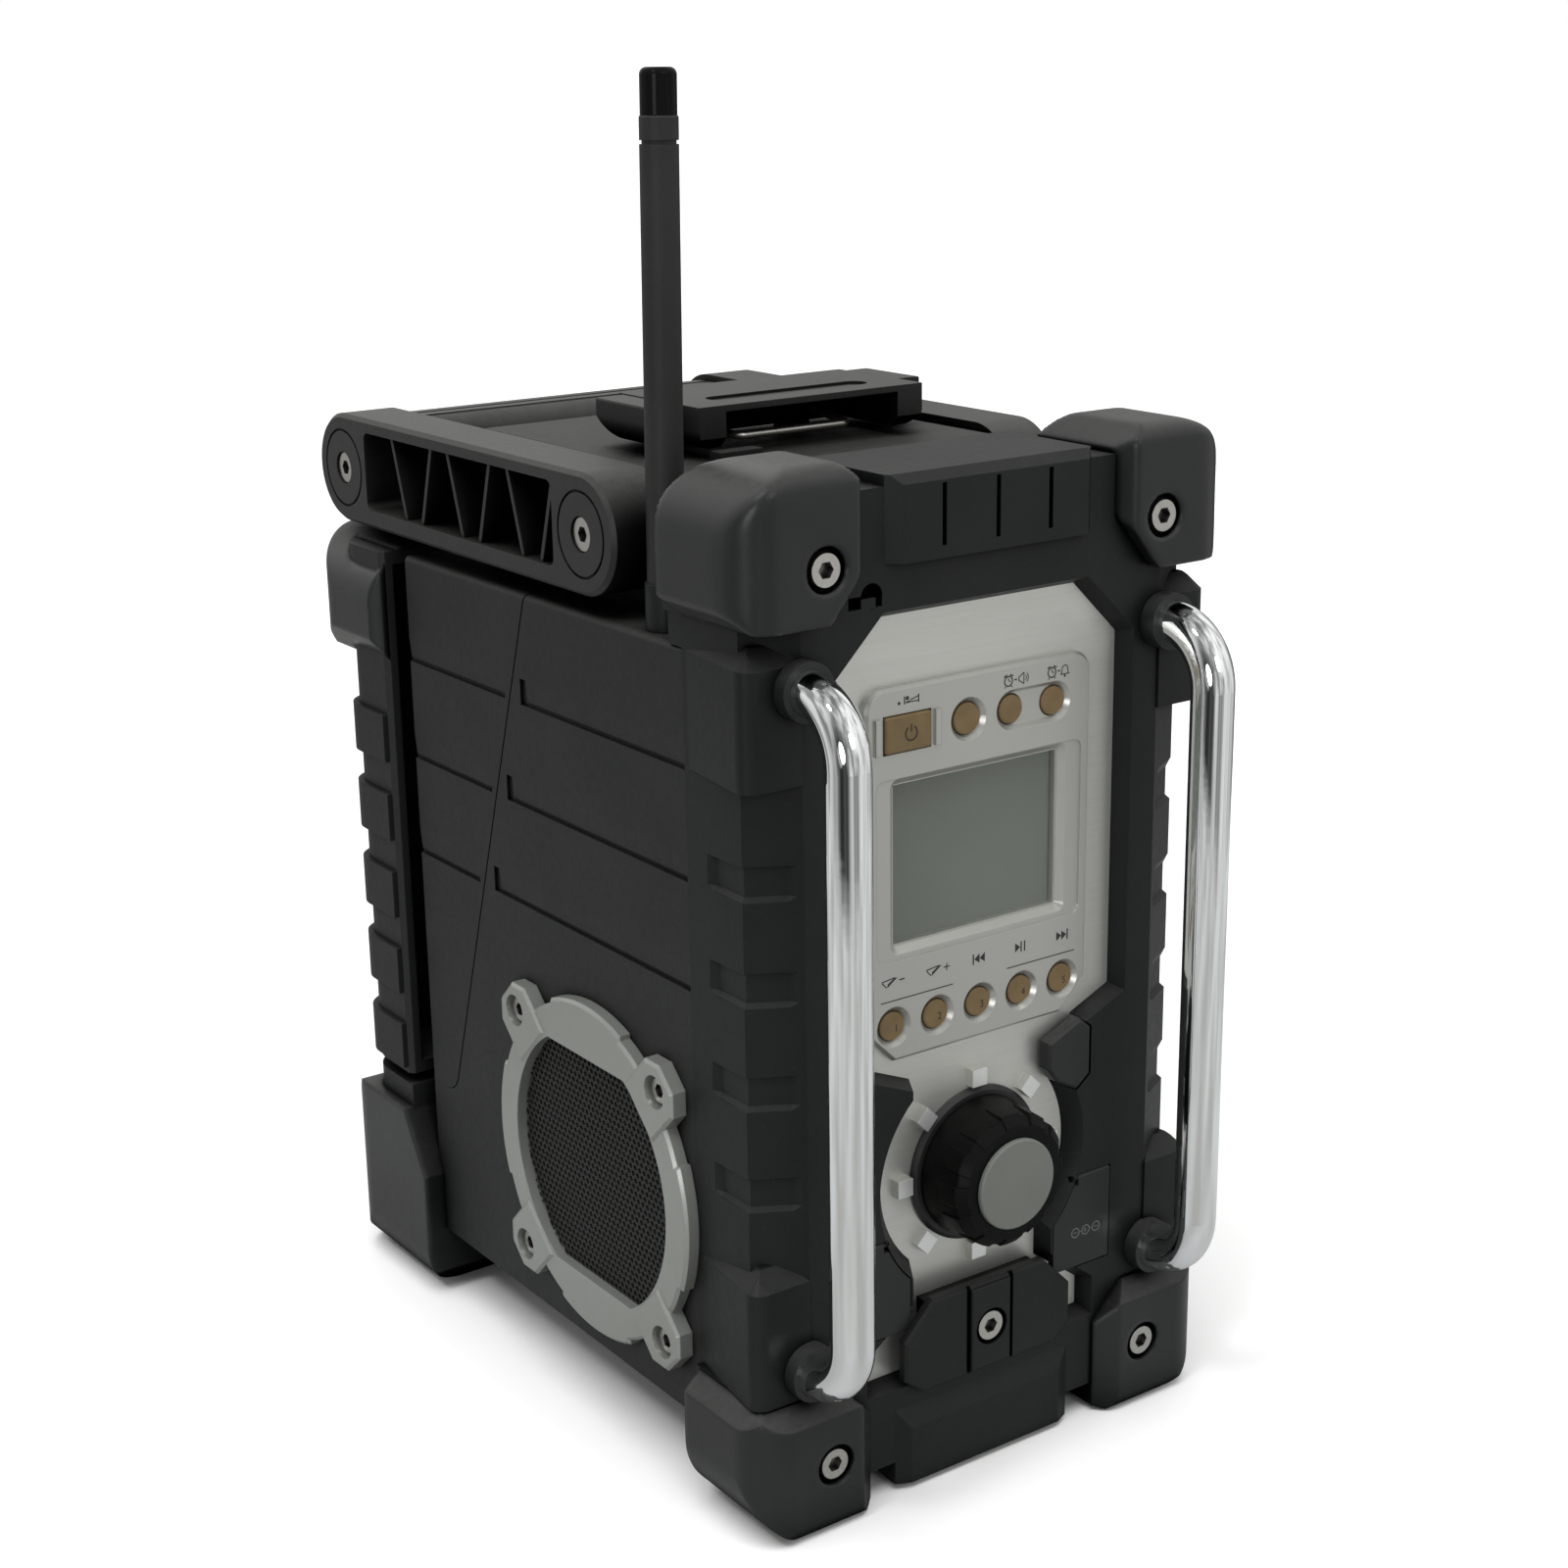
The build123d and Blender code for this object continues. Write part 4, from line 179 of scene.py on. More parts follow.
def grained(
    name, dark, light, roughness, grain=1.4, depth=0.03, edge=0.4, dust_and_sheen=0.55, gloss=0.4, painted_shade_reach=0
):
    """Matt moulded plastic or rubber: eroded grain, faint mottling, and dust with a painted sheen on
    top.

    The grain is in waves per millimetre and its depth, like the edge's radius, in millimetres.
    The reach of the painted shade is how wide, in millimetres, the gaps and pockets are that go black.
    """
    finish = Finish(name, edge, Specular_IOR_Level=gloss)
    mottle = finish.noise(0.035, 4).clipped(0.35, 0.7)
    film = finish.noise(0.4, 5, rough=0.7).clipped(0.35, 0.75)
    # Upward faces blend towards pale grey. This is dust, and also a painted sheen for the light that
    # their tops catch.
    settled_dust_and_sheen = finish.facing_up() * (film * 0.5 + 0.5) * dust_and_sheen
    speck = finish.noise(1.1, 1).clipped(0.70, 0.78) * 0.12
    base = mottle.between((*dark, 1), (*light, 1))
    finish.feed("Base Color", (settled_dust_and_sheen * 0.35 + speck * 0.4).between(base, dust_and_sheen_grey))
    finish.feed("Roughness", roughness + film * 0.08 + settled_dust_and_sheen * 0.1)
    # Gaps and pockets near any object's surfaces blend into black: painted shade.
    if painted_shade_reach:
        finish.blacken(1 - finish.crevice(painted_shade_reach, local=False).clipped(0.30, 0.80))
    finish.bump(finish.noise(grain, 2), depth)
    return finish


housing = grained(
    "housing_plastic", (0.007, 0.008, 0.0075), (0.010, 0.011, 0.0105), 0.52, gloss=0.36, painted_shade_reach=10
)
housing.on("main_housing", "rear_housing", "top_deck", "battery_door")

# ---- Front frame --------------------------------------------------------------------
# The dark moulding round the plate with its corner strips, the block under the knob and
# the antenna's foot: the same plastic, smoother and handled more.

# Painted shade blackens the gaps round it, and a little dust with a painted sheen lies on top.
frame_plastic = grained(
    "frame_plastic", (0.005, 0.006, 0.006), (0.008, 0.009, 0.009), 0.44, 2.0, 0.012, dust_and_sheen=0.3,
    gloss=0.27, painted_shade_reach=8
)
frame_plastic.on("front_frame", "guard_block", "antenna_foot")

# ---- Rubber corners -----------------------------------------------------------------
# Soft black elastomer moulded over the eight corners. The upper two in front are rounded
# off further than the solids' flats and bevels, but stay crisp in a band along the frame
# and the seam below, and round the screw's bore.

# Dust and a painted sheen lighten its tops, and painted shade blackens gaps and pockets up to 24 mm
# across.
rubber = grained(
    "corner_rubber", (0.010, 0.011, 0.011), (0.014, 0.015, 0.015), 0.31, 1.2, 0.015, 2.5,
    dust_and_sheen=0.7, gloss=0.40, painted_shade_reach=24
)
rubber.on(
    *[f"{piece}_{side}" for piece in ("bumper_top", "bumper_foot", "rear_foot", "door_bumper")
      for side in ("right", "left")]
)

skin_grain = 0.8 * mm
frame_band = 6 * mm
foot_band = 9 * mm
band_fade = 8 * mm
bore = Vector((56.25, 0, 266.7)) * mm
bore_rim = 7.5 * mm
bore_fade = 3.5 * mm
rounding_passes = 50


def seat(name, mesh, body, finish):
    """Makes a piece of a finished mesh, in its finish, on the body that carries it."""
    piece = bpy.data.objects.new(name, mesh)
    bpy.context.collection.objects.link(piece)
    mesh.materials.clear()
    mesh.materials.append(finish.material)
    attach(piece, body)
    return piece


def shaped(form):
    """The mesh of an object with its modifiers applied."""
    depsgraph = bpy.context.evaluated_depsgraph_get()
    return bpy.data.meshes.new_from_object(form.evaluated_get(depsgraph))


def eased(distance, width):
    """0 up to no distance, 1 from width on."""
    return min(max(distance / width, 0), 1)


def softened(node, hand):
    """A corner's mesh with its outer edges rounded off, inside the box of the solid corner."""
    low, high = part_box(node)
    shell = bmesh.new()
    shell.from_mesh(nodes[node].data)
    bmesh.ops.remove_doubles(shell, verts=shell.verts, dist=0.001 * mm)
    merged = bpy.data.meshes.new(node + "_soft")
    shell.to_mesh(merged)
    shell.free()
    form = bpy.data.objects.new(node + "_soft", merged)
    bpy.context.collection.objects.link(form)
    skin = form.modifiers.new("skin", "REMESH")
    skin.mode = "VOXEL"
    skin.voxel_size = skin_grain
    skinned = shaped(form)
    form.modifiers.clear()
    form.data = skinned
    outer = form.vertex_groups.new(name="outer")
    frame_x = low.x if hand > 0 else high.x
    for vertex in skinned.vertices:
        spot = vertex.co
        off_axis = Vector((spot.x - hand * bore.x, spot.z - bore.z)).length
        share = eased(spot.z - low.z - foot_band, band_fade)
        share *= eased(abs(spot.x - frame_x) - frame_band, band_fade)
        share *= eased(high.y - spot.y - frame_band, band_fade)
        share *= eased(off_axis - bore_rim, bore_fade)
        outer.add([vertex.index], share, "REPLACE")
    rounding = form.modifiers.new("rounding", "SMOOTH")
    rounding.iterations = rounding_passes
    rounding.factor = 0.5
    rounding.vertex_group = "outer"
    rounded = shaped(form)
    bpy.data.objects.remove(form)
    for vertex in rounded.vertices:
        vertex.co = [min(max(at, least), most) for at, least, most in zip(vertex.co, low, high)]
    rounded.shade_smooth()
    return rounded


for side, hand in (("right", 1), ("left", -1)):
    node = f"bumper_top_{side}"
    corner = seat(f"corner_rubber_{side}", softened(node, hand), "root", rubber)
    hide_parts(node)

# ---- Carrying handle and latch lever ------------------------------------------------
# Two channel arms bolted to a round-edged grip, and the hood of the latch on the deck,
# in fine-grained charcoal plastic that hands keep a little shinier.

# Its tops carry the most dust and painted sheen, and painted shade blackens its deep pockets.
handle_plastic = grained(
    "handle_plastic", (0.012, 0.013, 0.012), (0.017, 0.018, 0.017), 0.43, 1.6, 0.02, dust_and_sheen=1.0, painted_shade_reach=40
)
handle_plastic.on("handle_arm_right", "handle_arm_left", "handle_grip", "latch_lever")

# ---- Antenna ------------------------------------------------------------------------
# A sprung wire in a matt rubber sleeve, with a glossy moulded tip pressed onto its end.
# The foot that it stands in has the frame's finish.

sleeve = grained("antenna_sleeve", (0.012, 0.013, 0.012), (0.017, 0.018, 0.017), 0.55, 1.5, 0.01)
sleeve.on("antenna_mast")
tip = Finish("antenna_tip", 0.3, Roughness=0.16, Specular_IOR_Level=0.06)
tip.shader.inputs["Base Color"].default_value = (0.006, 0.006, 0.006, 1)
tip.bump(tip.noise(0.3, 2), 0.01)
tip.on("antenna_cap")

# ---- Front plate and bezel ----------------------------------------------------------
# A warm silver plate brushed across its width, with brighter index blocks round the knob,
# and the satin-painted moulding that frames the window and the keys.

brushed = Finish("brushed_plate", 0.15, Metallic=0.85)
stroke = brushed.noise(9.0, 4, (0.02, 1, 1), 0.7)
broad = brushed.noise(0.9, 3, (0.02, 1, 1), 0.6)
rolled = (stroke * 0.6 + broad * 0.4).between((0.54, 0.54, 0.51, 1), (0.78, 0.78, 0.74, 1))
block_foot_y = -101.6
block_rise = 0.2
proud = brushed.along("Y").clipped(block_foot_y, block_foot_y - block_rise)
brushed.feed("Base Color", proud.between(rolled, (0.86, 0.87, 0.86, 1)))
brushed.feed("Roughness", 0.34 + stroke * 0.14)
brushed.bump(stroke * (1 - proud), 0.012)
brushed.on("front_panel")

silver = Finish("bezel_silver", 0.35, Metallic=0.75)
flake = silver.noise(6.0, 2)
silver.feed("Base Color", flake.between((0.45, 0.45, 0.425, 1), (0.53, 0.53, 0.50, 1)))
silver.feed("Roughness", 0.29 + silver.noise(0.2, 4) * 0.08)
silver.bump(flake, 0.004)
silver.on("button_bezel")

# ---- Window -------------------------------------------------------------------------
# A clear pane over a grey-green liquid crystal panel that shows nothing while it is off. The
# pane lies a hair in front of the panel, whose left and right edges carry a painted shadow.

crystal = Finish("crystal_panel", 0, Roughness=0.35, Specular_IOR_Level=0.4)
haze = crystal.noise(0.02, 2)
across = crystal.along("X")
# The panel goes nearly black near its left and right edges: a painted shadow of the window's rim.
rim_shadow_start = 27.45
rim_shadow_fade = 0.2
painted_rim_shadow = crystal.start.math("ABSOLUTE", across).clipped(rim_shadow_start, rim_shadow_start + rim_shadow_fade)
lit = haze.between((0.130, 0.146, 0.122, 1), (0.160, 0.178, 0.151, 1))
crystal.feed("Base Color", painted_rim_shadow.between(lit, (0.012, 0.013, 0.012, 1)))
crystal.bump(crystal.noise(3.0, 1), 0.002)
crystal.on("display_module")

pane = Finish("window_pane", 0, Alpha=0.12)
pane.shader.inputs["Base Color"].default_value = (0.3, 0.32, 0.3, 1)
smear = pane.noise(0.06, 4)
pane.feed("Roughness", 0.26 + smear * 0.08)
pane_gap = 0.15 * mm
pane_bevel = 0.25 * mm
low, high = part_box("display_lens")
gap = Vector((0, pane_gap, 0))
cut = bmesh.new()
bmesh.ops.create_cube(cut, size=1)
bmesh.ops.scale(cut, verts=cut.verts, vec=(high - low) - gap)
bmesh.ops.translate(cut, verts=cut.verts, vec=(low + high) / 2 - gap / 2)
bmesh.ops.bevel(
    cut, geom=cut.edges, offset=pane_bevel, offset_type="OFFSET", segments=2,
    profile=0.5, affect="EDGES", material=-1,
)
mesh = bpy.data.meshes.new("window_glass")
cut.to_mesh(mesh)
cut.free()
glass = seat("window_glass", mesh, "root", pane)
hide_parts("display_lens")

# ---- Keys ---------------------------------------------------------------------------
# Semi-gloss tan rubber keys. The menu key beside the knob is matt black, and so are the
# socket covers, the ring behind the knob and the collars of the bars.

tan = Finish("tan_key", 0.3, Specular_IOR_Level=0.5, Subsurface_Weight=0.1, Subsurface_Scale=0.002)
wear = tan.noise(0.25, 3).clipped(0.3, 0.8)
tan.feed("Base Color", wear.between((0.150, 0.098, 0.038, 1), (0.195, 0.130, 0.055, 1)))
tan.feed("Roughness", 0.30 + wear * 0.10)
tan.bump(tan.noise(2.0, 2), 0.006)
tan.on(
    "power_button", "source_button", "alarm_button_radio", "alarm_button_buzzer",
    *[f"preset_button_{i}" for i in range(1, 6)]
)

black_key = grained("black_key", (0.010, 0.011, 0.011), (0.014, 0.015, 0.015), 0.40, 2.0, 0.010)
black_key.on("menu_button", "aux_cover", "dc_cover", "dial_ring", "bar_collars")

# ---- Printed marks ------------------------------------------------------------------
# Dark pad-printed symbols over the keys, the number on each preset key, and the grey sign
# of the supply socket on its cover.


def face_of(node, place):
    """Where a node's front face stands in y, at the place's x and z."""
    front = Vector((place.x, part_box(node)[0].y - mm, place.z))
    return nodes[node].ray_cast(front, Vector((0, 1, 0)))[1].y


class Print:
    """Ink on a face that looks forward, drawn in millimetres from a centre at x and z.

    The face is found at the centre, or as far beside it as probe says.
    """

    thickness = 0.06
    sunk = 0.02

    def __init__(self, x, z, probe=0):
        self.centre = Vector((x, 0, z))
        self.probe = probe
        self.form = bmesh.new()

    def patch(self, *points):
        self.form.faces.new([self.form.verts.new(self.centre + Vector((x, 0, z))) for x, z in points])

    def bar(self, start, end, width):
        first, last = Vector(start), Vector(end)
        across = (last - first).orthogonal().normalized() * width / 2
        self.patch(first - across, last - across, last + across, first + across)

    def ring(self, radius, width, x=0, z=0, sweep=360, start=0):
        """Part of a ring, from an angle above +x and turning towards +z."""
        middle = self.centre + Vector((x, 0, z))
        ray = Matrix.Rotation(radians(-start), 3, "Y") @ Vector((1, 0, 0))
        ends = [self.form.verts.new(middle + ray * (radius + side * width / 2)) for side in (-1, 1)]
        edge = self.form.edges.new(ends)
        bmesh.ops.spin(
            self.form, geom=ends + [edge], cent=middle, axis=(0, -1, 0), angle=radians(sweep),
            steps=max(6, sweep // 15), use_merge=sweep == 360,
        )

    def disc(self, radius, x=0, z=0):
        place = Matrix.Translation(self.centre + Vector((x, 0, z))) @ Matrix.Rotation(pi / 2, 4, "X")
        bmesh.ops.create_circle(self.form, cap_ends=True, segments=20, radius=radius, matrix=place)

    def finish(self, name, node, body, colour):
        """Gives the ink its thickness on the node's face and makes it ride with that body."""
        face_y = face_of(node, self.centre * mm + Vector((self.probe * mm, 0, 0))) / mm
        bmesh.ops.translate(self.form, verts=self.form.verts, vec=(0, face_y + self.sunk, 0))
        raised = bmesh.ops.extrude_face_region(self.form, geom=list(self.form.faces))
        tops = [part for part in raised["geom"] if isinstance(part, bmesh.types.BMVert)]
        bmesh.ops.translate(self.form, verts=tops, vec=(0, -self.thickness, 0))
        bmesh.ops.scale(self.form, verts=self.form.verts, vec=(mm, mm, mm))
        bmesh.ops.recalc_face_normals(self.form, faces=self.form.faces)
        mesh = bpy.data.meshes.new(name)
        self.form.to_mesh(mesh)
        self.form.free()
        seat(name, mesh, body, colour)


def ink(name, dark, light):
    """A matt pad-printing ink that varies a little in strength."""
    finish = Finish(name, 0, Roughness=0.45)
    spread = finish.noise(1.5, 3)
    finish.feed("Base Color", spread.between((*dark, 1), (*light, 1)))
    finish.bump(spread, 0.003)
    return finish


black_ink = ink("black_ink", (0.010, 0.009, 0.008), (0.020, 0.018, 0.017))
brown_ink = ink("brown_ink", (0.013, 0.008, 0.004), (0.020, 0.012, 0.006))
grey_ink = ink("grey_ink", (0.100, 0.102, 0.100), (0.140, 0.142, 0.140))

line_width = 0.38
fine_line = 0.3
hair_line = 0.25
heavy_line = 0.45
key_signs_z = 151.1
folder_signs_z = 151.3

sleep_sign = Print(-23.6, 227.4)
sleep_sign.disc(0.45, -4.1, -0.5)
sleep_sign.bar((-2.3, -1.1), (-2.3, 1.1), line_width)
sleep_sign.disc(0.55, -1.4, 0.5)
sleep_sign.bar((-1.9, -0.55), (-0.5, -0.55), 0.5)
sleep_sign.patch((-0.6, -0.3), (2.0, 0.4), (2.0, 0.7), (-0.6, 0.0))
sleep_sign.patch((-0.4, -0.75), (2.0, -0.75), (2.0, -0.45), (-0.4, -0.45))
sleep_sign.bar((2.3, -1.1), (2.3, 1.1), line_width)
sleep_sign.finish("sleep_sign", "button_bezel", "root", black_ink)

for name, x in (("radio_alarm_sign", 9.0), ("buzzer_alarm_sign", 24.2)):
    clock = Print(x, 226.9)
    clock.ring(1.35, line_width)
    clock.bar((0, 0.1), (0, 0.85), fine_line)
    clock.bar((0.2, -0.05), (0.75, -0.05), fine_line)
    for side in (-1, 1):
        clock.bar((side * 0.55, 1.75), (side * 1.6, 1.25), 0.4)
        clock.bar((side * 0.95, -1.35), (side * 1.25, -1.8), fine_line)
    clock.bar((2.0, 0.1), (2.9, 0.1), line_width)
    if name == "radio_alarm_sign":
        clock.bar((3.6, -0.55), (3.6, 0.75), fine_line)
        clock.bar((3.75, 0.6), (5.2, 1.55), 0.28)
        clock.bar((3.75, -0.4), (5.2, -1.35), 0.28)
        clock.bar((5.35, -1.5), (5.35, 1.7), 0.28)
        clock.ring(1.0, hair_line, 5.2, 0.1, 90, -45)
        clock.ring(1.7, hair_line, 5.2, 0.1, 90, -45)
    else:
        clock.ring(1.0, fine_line, 4.6, 0.35, 180, 0)
        clock.bar((3.6, 0.3), (3.4, -0.9), fine_line)
        clock.bar((5.6, 0.3), (5.8, -0.9), fine_line)
        clock.bar((3.0, -1.05), (6.2, -1.05), fine_line)
        clock.disc(0.35, 4.6, -1.6)
    clock.finish(name, "button_bezel", "root", black_ink)

for name, x in (("folder_back_sign", -31.2), ("folder_on_sign", -16.2)):
    folder = Print(x, folder_signs_z)
    folder.bar((-2.4, 0.45), (1.9, 0.95), 0.32)
    folder.bar((-2.35, 0.2), (-0.9, -1.3), 0.32)
    folder.patch((-0.7, -1.5), (2.8, 0.9), (1.7, 0.85), (-0.45, -0.45))
    if name == "folder_back_sign":
        folder.bar((3.4, 0), (5.2, 0), line_width)
    else:
        folder.patch(
            (3.5, -0.16), (4.4, -0.16), (4.4, -1.05), (4.72, -1.05), (4.72, -0.16), (5.6, -0.16),
            (5.6, 0.16), (4.72, 0.16), (4.72, 1.05), (4.4, 1.05), (4.4, 0.16), (3.5, 0.16),
        )
    folder.finish(name, "button_bezel", "root", black_ink)

for name, x, hand in (("skip_back_sign", -0.3, -1), ("skip_on_sign", 29.2, 1)):
    skip = Print(x, key_signs_z)
    for apex in (-0.1, 1.75):
        skip.patch((hand * apex, 0), (hand * (apex - 1.8), 1.35), (hand * (apex - 1.8), -1.35))
    skip.bar((hand * 2.1, -1.5), (hand * 2.1, 1.5), heavy_line)
    skip.finish(name, "button_bezel", "root", black_ink)
play = Print(14.3, key_signs_z)
play.patch((-0.1, 0), (-1.9, 1.35), (-1.9, -1.35))
for x in (0.25, 1.5):
    play.bar((x, -1.5), (x, 1.5), heavy_line)
play.finish("play_sign", "button_bezel", "root", black_ink)

rule = Print(0, 145.8, 20)
for side in (-1, 1):
    rule.bar((side * 9.5, 0), (side * 34.0, 0), fine_line)
rule.finish("preset_rule", "button_bezel", "root", black_ink)

power_sign = Print(-24.2, 218.6)
power_line = 0.42
power_sign.ring(1.9, power_line, 0, 0, 300, 120)
power_sign.bar((0, 0.4), (0, 2.5), power_line)
power_sign.finish("power_sign", "power_button", "power_button", brown_ink)

figure_size = 3.0 * mm
figure_lift = 0.01 * mm
figure_rise = 0.03 * mm
off_centre = Vector((1.3, 0, -0.9)) * mm
for number in range(1, 6):
    key = f"preset_button_{number}"
    low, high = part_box(key)
    figure = bpy.data.curves.new(f"figure_{number}", "FONT")
    figure.body = str(number)
    figure.size = figure_size
    figure.extrude = figure_rise
    figure.resolution_u = 4
    figure.align_x = "CENTER"
    figure.align_y = "CENTER"
    typeset = bpy.data.objects.new(f"figure_{number}", figure)
    printed = bpy.data.meshes.new_from_object(typeset)
    bpy.data.objects.remove(typeset)
    place = (low + high) / 2 + off_centre
    place.y = face_of(key, place) - figure_lift
    printed.transform(Matrix.Translation(place) @ Matrix.Rotation(pi / 2, 4, "X"))
    glyph = bmesh.new()
    glyph.from_mesh(printed)
    bmesh.ops.remove_doubles(glyph, verts=glyph.verts, dist=0.001 * mm)
    glyph.to_mesh(printed)
    glyph.free()
    seat(f"preset_figure_{number}", printed, key, brown_ink)

polarity = Print(38.2, 59.6)
for x in (-3.9, 0, 3.9):
    polarity.ring(1.4, 0.34, x)
for start, end in ((-4.6, -3.2), (3.2, 4.6), (-2.5, -1.4), (1.4, 2.5)):
    polarity.bar((start, 0), (end, 0), hair_line)
polarity.ring(0.45, hair_line, 0, 0, 240, 60)
polarity.disc(0.2, 0, 0)
polarity.finish("polarity_sign", "dc_cover", "dc_cover", grey_ink)

# ---- Tuning knob --------------------------------------------------------------------
# A black rubber grip ring with treads, pushed over a grey moulded cap. The steel shaft
# behind it has the finish of the screws.

knob_rubber = grained(
    "knob_rubber", (0.002, 0.002, 0.002), (0.004, 0.004, 0.004), 0.36, 2.2, 0.010, 0.6, 0.03, 0.10
)
knob_rubber.on("tuning_knob")
cap_grey = grained(
    "knob_cap_grey", (0.138, 0.145, 0.131), (0.160, 0.167, 0.152), 0.42, 2.4, 0.012, 0.3, 0.1
)
cap_grey.on("knob_cap")

# ---- Guard bars ---------------------------------------------------------------------
# Two lengths of bent steel rod, polished and chrome plated, with the fine scratches of
# use. Their ends stand in the collars.

chrome = Finish("chrome_plate", 0, Metallic=1.0)
scratch = chrome.noise(2.0, 6, (1, 1, 0.05), 0.8).clipped(0.55, 0.8)
chrome.feed("Base Color", scratch.between((0.95, 0.96, 0.97, 1), (0.80, 0.81, 0.82, 1)))
chrome.feed("Roughness", 0.035 + scratch * 0.12)
chrome.bump(chrome.noise(0.06, 3), 0.05)
chrome.on("guard_bar_right", "guard_bar_left")

# ---- Speakers -----------------------------------------------------------------------
# On each side a silver-painted ring with four lugs holds a black perforated sheet over
# the driver's cone.

ring_paint = Finish("ring_silver", 0.4, Metallic=0.6)
grit = ring_paint.noise(3.0, 3)
rub = ring_paint.noise(0.15, 5, rough=0.7).clipped(0.4, 0.75)
ring_paint.feed("Base Color", grit.between((0.30, 0.31, 0.29, 1), (0.37, 0.38, 0.355, 1)))
ring_paint.feed("Roughness", 0.33 + rub * 0.12)
ring_paint.bump(grit, 0.01)
ring_paint.on("speaker_ring_right", "speaker_ring_left")

cone = grained("driver_cone", (0.006, 0.006, 0.006), (0.009, 0.009, 0.009), 0.6)
cone.on("speaker_driver_right", "speaker_driver_left")

sheet_paint = Finish("mesh_black", 0, Metallic=0.3, Specular_IOR_Level=0.5)
coat = sheet_paint.noise(1.5, 2)
sheet_paint.feed("Base Color", coat.between((0.024, 0.024, 0.023, 1), (0.036, 0.036, 0.034, 1)))
sheet_paint.feed("Roughness", 0.38 + coat * 0.1)
sheet_paint.bump(coat, 0.01)

cell_pitch = 2.3 * mm
cell_rim = 0.36 * mm
cell_radius = cell_pitch / 3**0.5
row_pitch = cell_pitch * 3**0.5 / 2
edge_margin = 0.2 * cell_pitch
weld = 0.05 * cell_pitch
sheet_gauge = 0.6 * mm
for side, hand in (("right", 1), ("left", -1)):
    low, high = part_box(f"speaker_mesh_{side}")
    centre = (low + high) / 2
    reach = (high.y - low.y) / 2
    chord = (high.z - low.z) / 2
    middle_x = (high.x if hand > 0 else low.x) - hand * sheet_gauge / 2
    rows = int(reach / row_pitch) + 1
    turn = Matrix.Rotation(hand * pi / 2, 4, "Y")
    cells = bmesh.new()
    for row in range(-rows, rows + 1):
        for column in range(-rows - 1, rows + 2):
            y = (column + 0.5 * (row % 2)) * cell_pitch
            z = row * row_pitch
            if y * y + z * z < (reach - edge_margin) ** 2 and abs(z) < chord:
                place = Matrix.Translation((middle_x, centre.y + y, centre.z + z))
                bmesh.ops.create_circle(
                    cells, cap_ends=True, segments=6, radius=cell_radius, matrix=place @ turn
                )
    bmesh.ops.remove_doubles(cells, verts=cells.verts, dist=weld)
    holes = list(cells.faces)
    bmesh.ops.inset_individual(cells, faces=holes, thickness=cell_rim)
    bmesh.ops.delete(cells, geom=holes, context="FACES")
    mesh = bpy.data.meshes.new(f"perforated_sheet_{side}")
    cells.to_mesh(mesh)
    cells.free()
    sheet = seat(f"perforated_sheet_{side}", mesh, "root", sheet_paint)
    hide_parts(f"speaker_mesh_{side}")
    wall = sheet.modifiers.new("gauge", "SOLIDIFY")
    wall.thickness = sheet_gauge
    wall.offset = 0

# ---- Screws, pins and wire ----------------------------------------------------------
# Plain stainless hardware: socket screws and bolts, hinge pins, the latch's wire and
# the knob's shaft.

stainless = Finish("stainless_steel", 0.25, Metallic=1.0)
turned = stainless.noise(1.2, 3)
polished = turned.between((0.44, 0.43, 0.40, 1), (0.62, 0.61, 0.57, 1))
# Deep in sockets and corners the colour goes nearly black: painted shade.
painted_socket_shade = stainless.crevice(3.0).clipped(0.45, 0.85)
stainless.feed("Base Color", painted_socket_shade.between((0.045, 0.043, 0.040, 1), polished))
stainless.feed("Roughness", 0.24 + turned * 0.14)
stainless.bump(turned, 0.01)
stainless.on(
    "front_screws", "speaker_screws", "pivot_bolts", "grip_bolts", "hinge_pins", "latch_wire",
    "knob_shaft",
)

# ---- Electronics --------------------------------------------------------------------
# A green lacquered board inside the housing; the knob's encoder, the two jacks and the
# battery's contact block are moulded in black plastic.

board = Finish("board_green", 0, Roughness=0.4)
weave = board.noise(1.0, 2)
board.feed("Base Color", weave.between((0.010, 0.060, 0.025, 1), (0.020, 0.090, 0.040, 1)))
board.bump(weave, 0.01)
board.on("circuit_board")
moulding = grained("part_black", (0.012, 0.012, 0.012), (0.018, 0.018, 0.018), 0.4)
moulding.on("encoder", "jack_sockets", "battery_terminals")

# ---- Floor, light and camera --------------------------------------------------------
# A pale floor under one very soft overhead light and three small ones, in a room with
# bright walls behind and in front. Past the edge of the table's round top the floor is
# seen, but casts nothing back.

floor_reach = 60
table_radius = 600
table_fade = 120
floor_form = bmesh.new()
bmesh.ops.create_grid(floor_form, x_segments=1, y_segments=1, size=floor_reach)
floor_mesh = bpy.data.meshes.new("floor")
floor_form.to_mesh(floor_mesh)
floor_form.free()
floor = bpy.data.objects.new("floor", floor_mesh)
bpy.context.collection.objects.link(floor)
paper = Finish("pale_floor", 0, Roughness=0.9, Specular_IOR_Level=0.0)
looked_at = paper.start.node("ShaderNodeLightPath", output=0)
fibre = paper.noise(0.004, 2).between((0.90, 0.90, 0.90, 1), (0.92, 0.92, 0.92, 1))
patches = paper.noise(0.005, 1).clipped(0.35, 0.65)
table = patches.between((0.29, 0.29, 0.28, 1), (0.43, 0.44, 0.44, 1))
paper.feed("Base Color", looked_at.between(table, fibre))
radius = paper.start.node("ShaderNodeVectorMath", {"operation": "LENGTH"}, {0: paper.place()}, 1)
on_table = radius.clipped(table_radius + table_fade, table_radius)
paper.feed("Alpha", paper.start.math("MAXIMUM", looked_at, on_table))
floor_mesh.materials.append(paper.material)

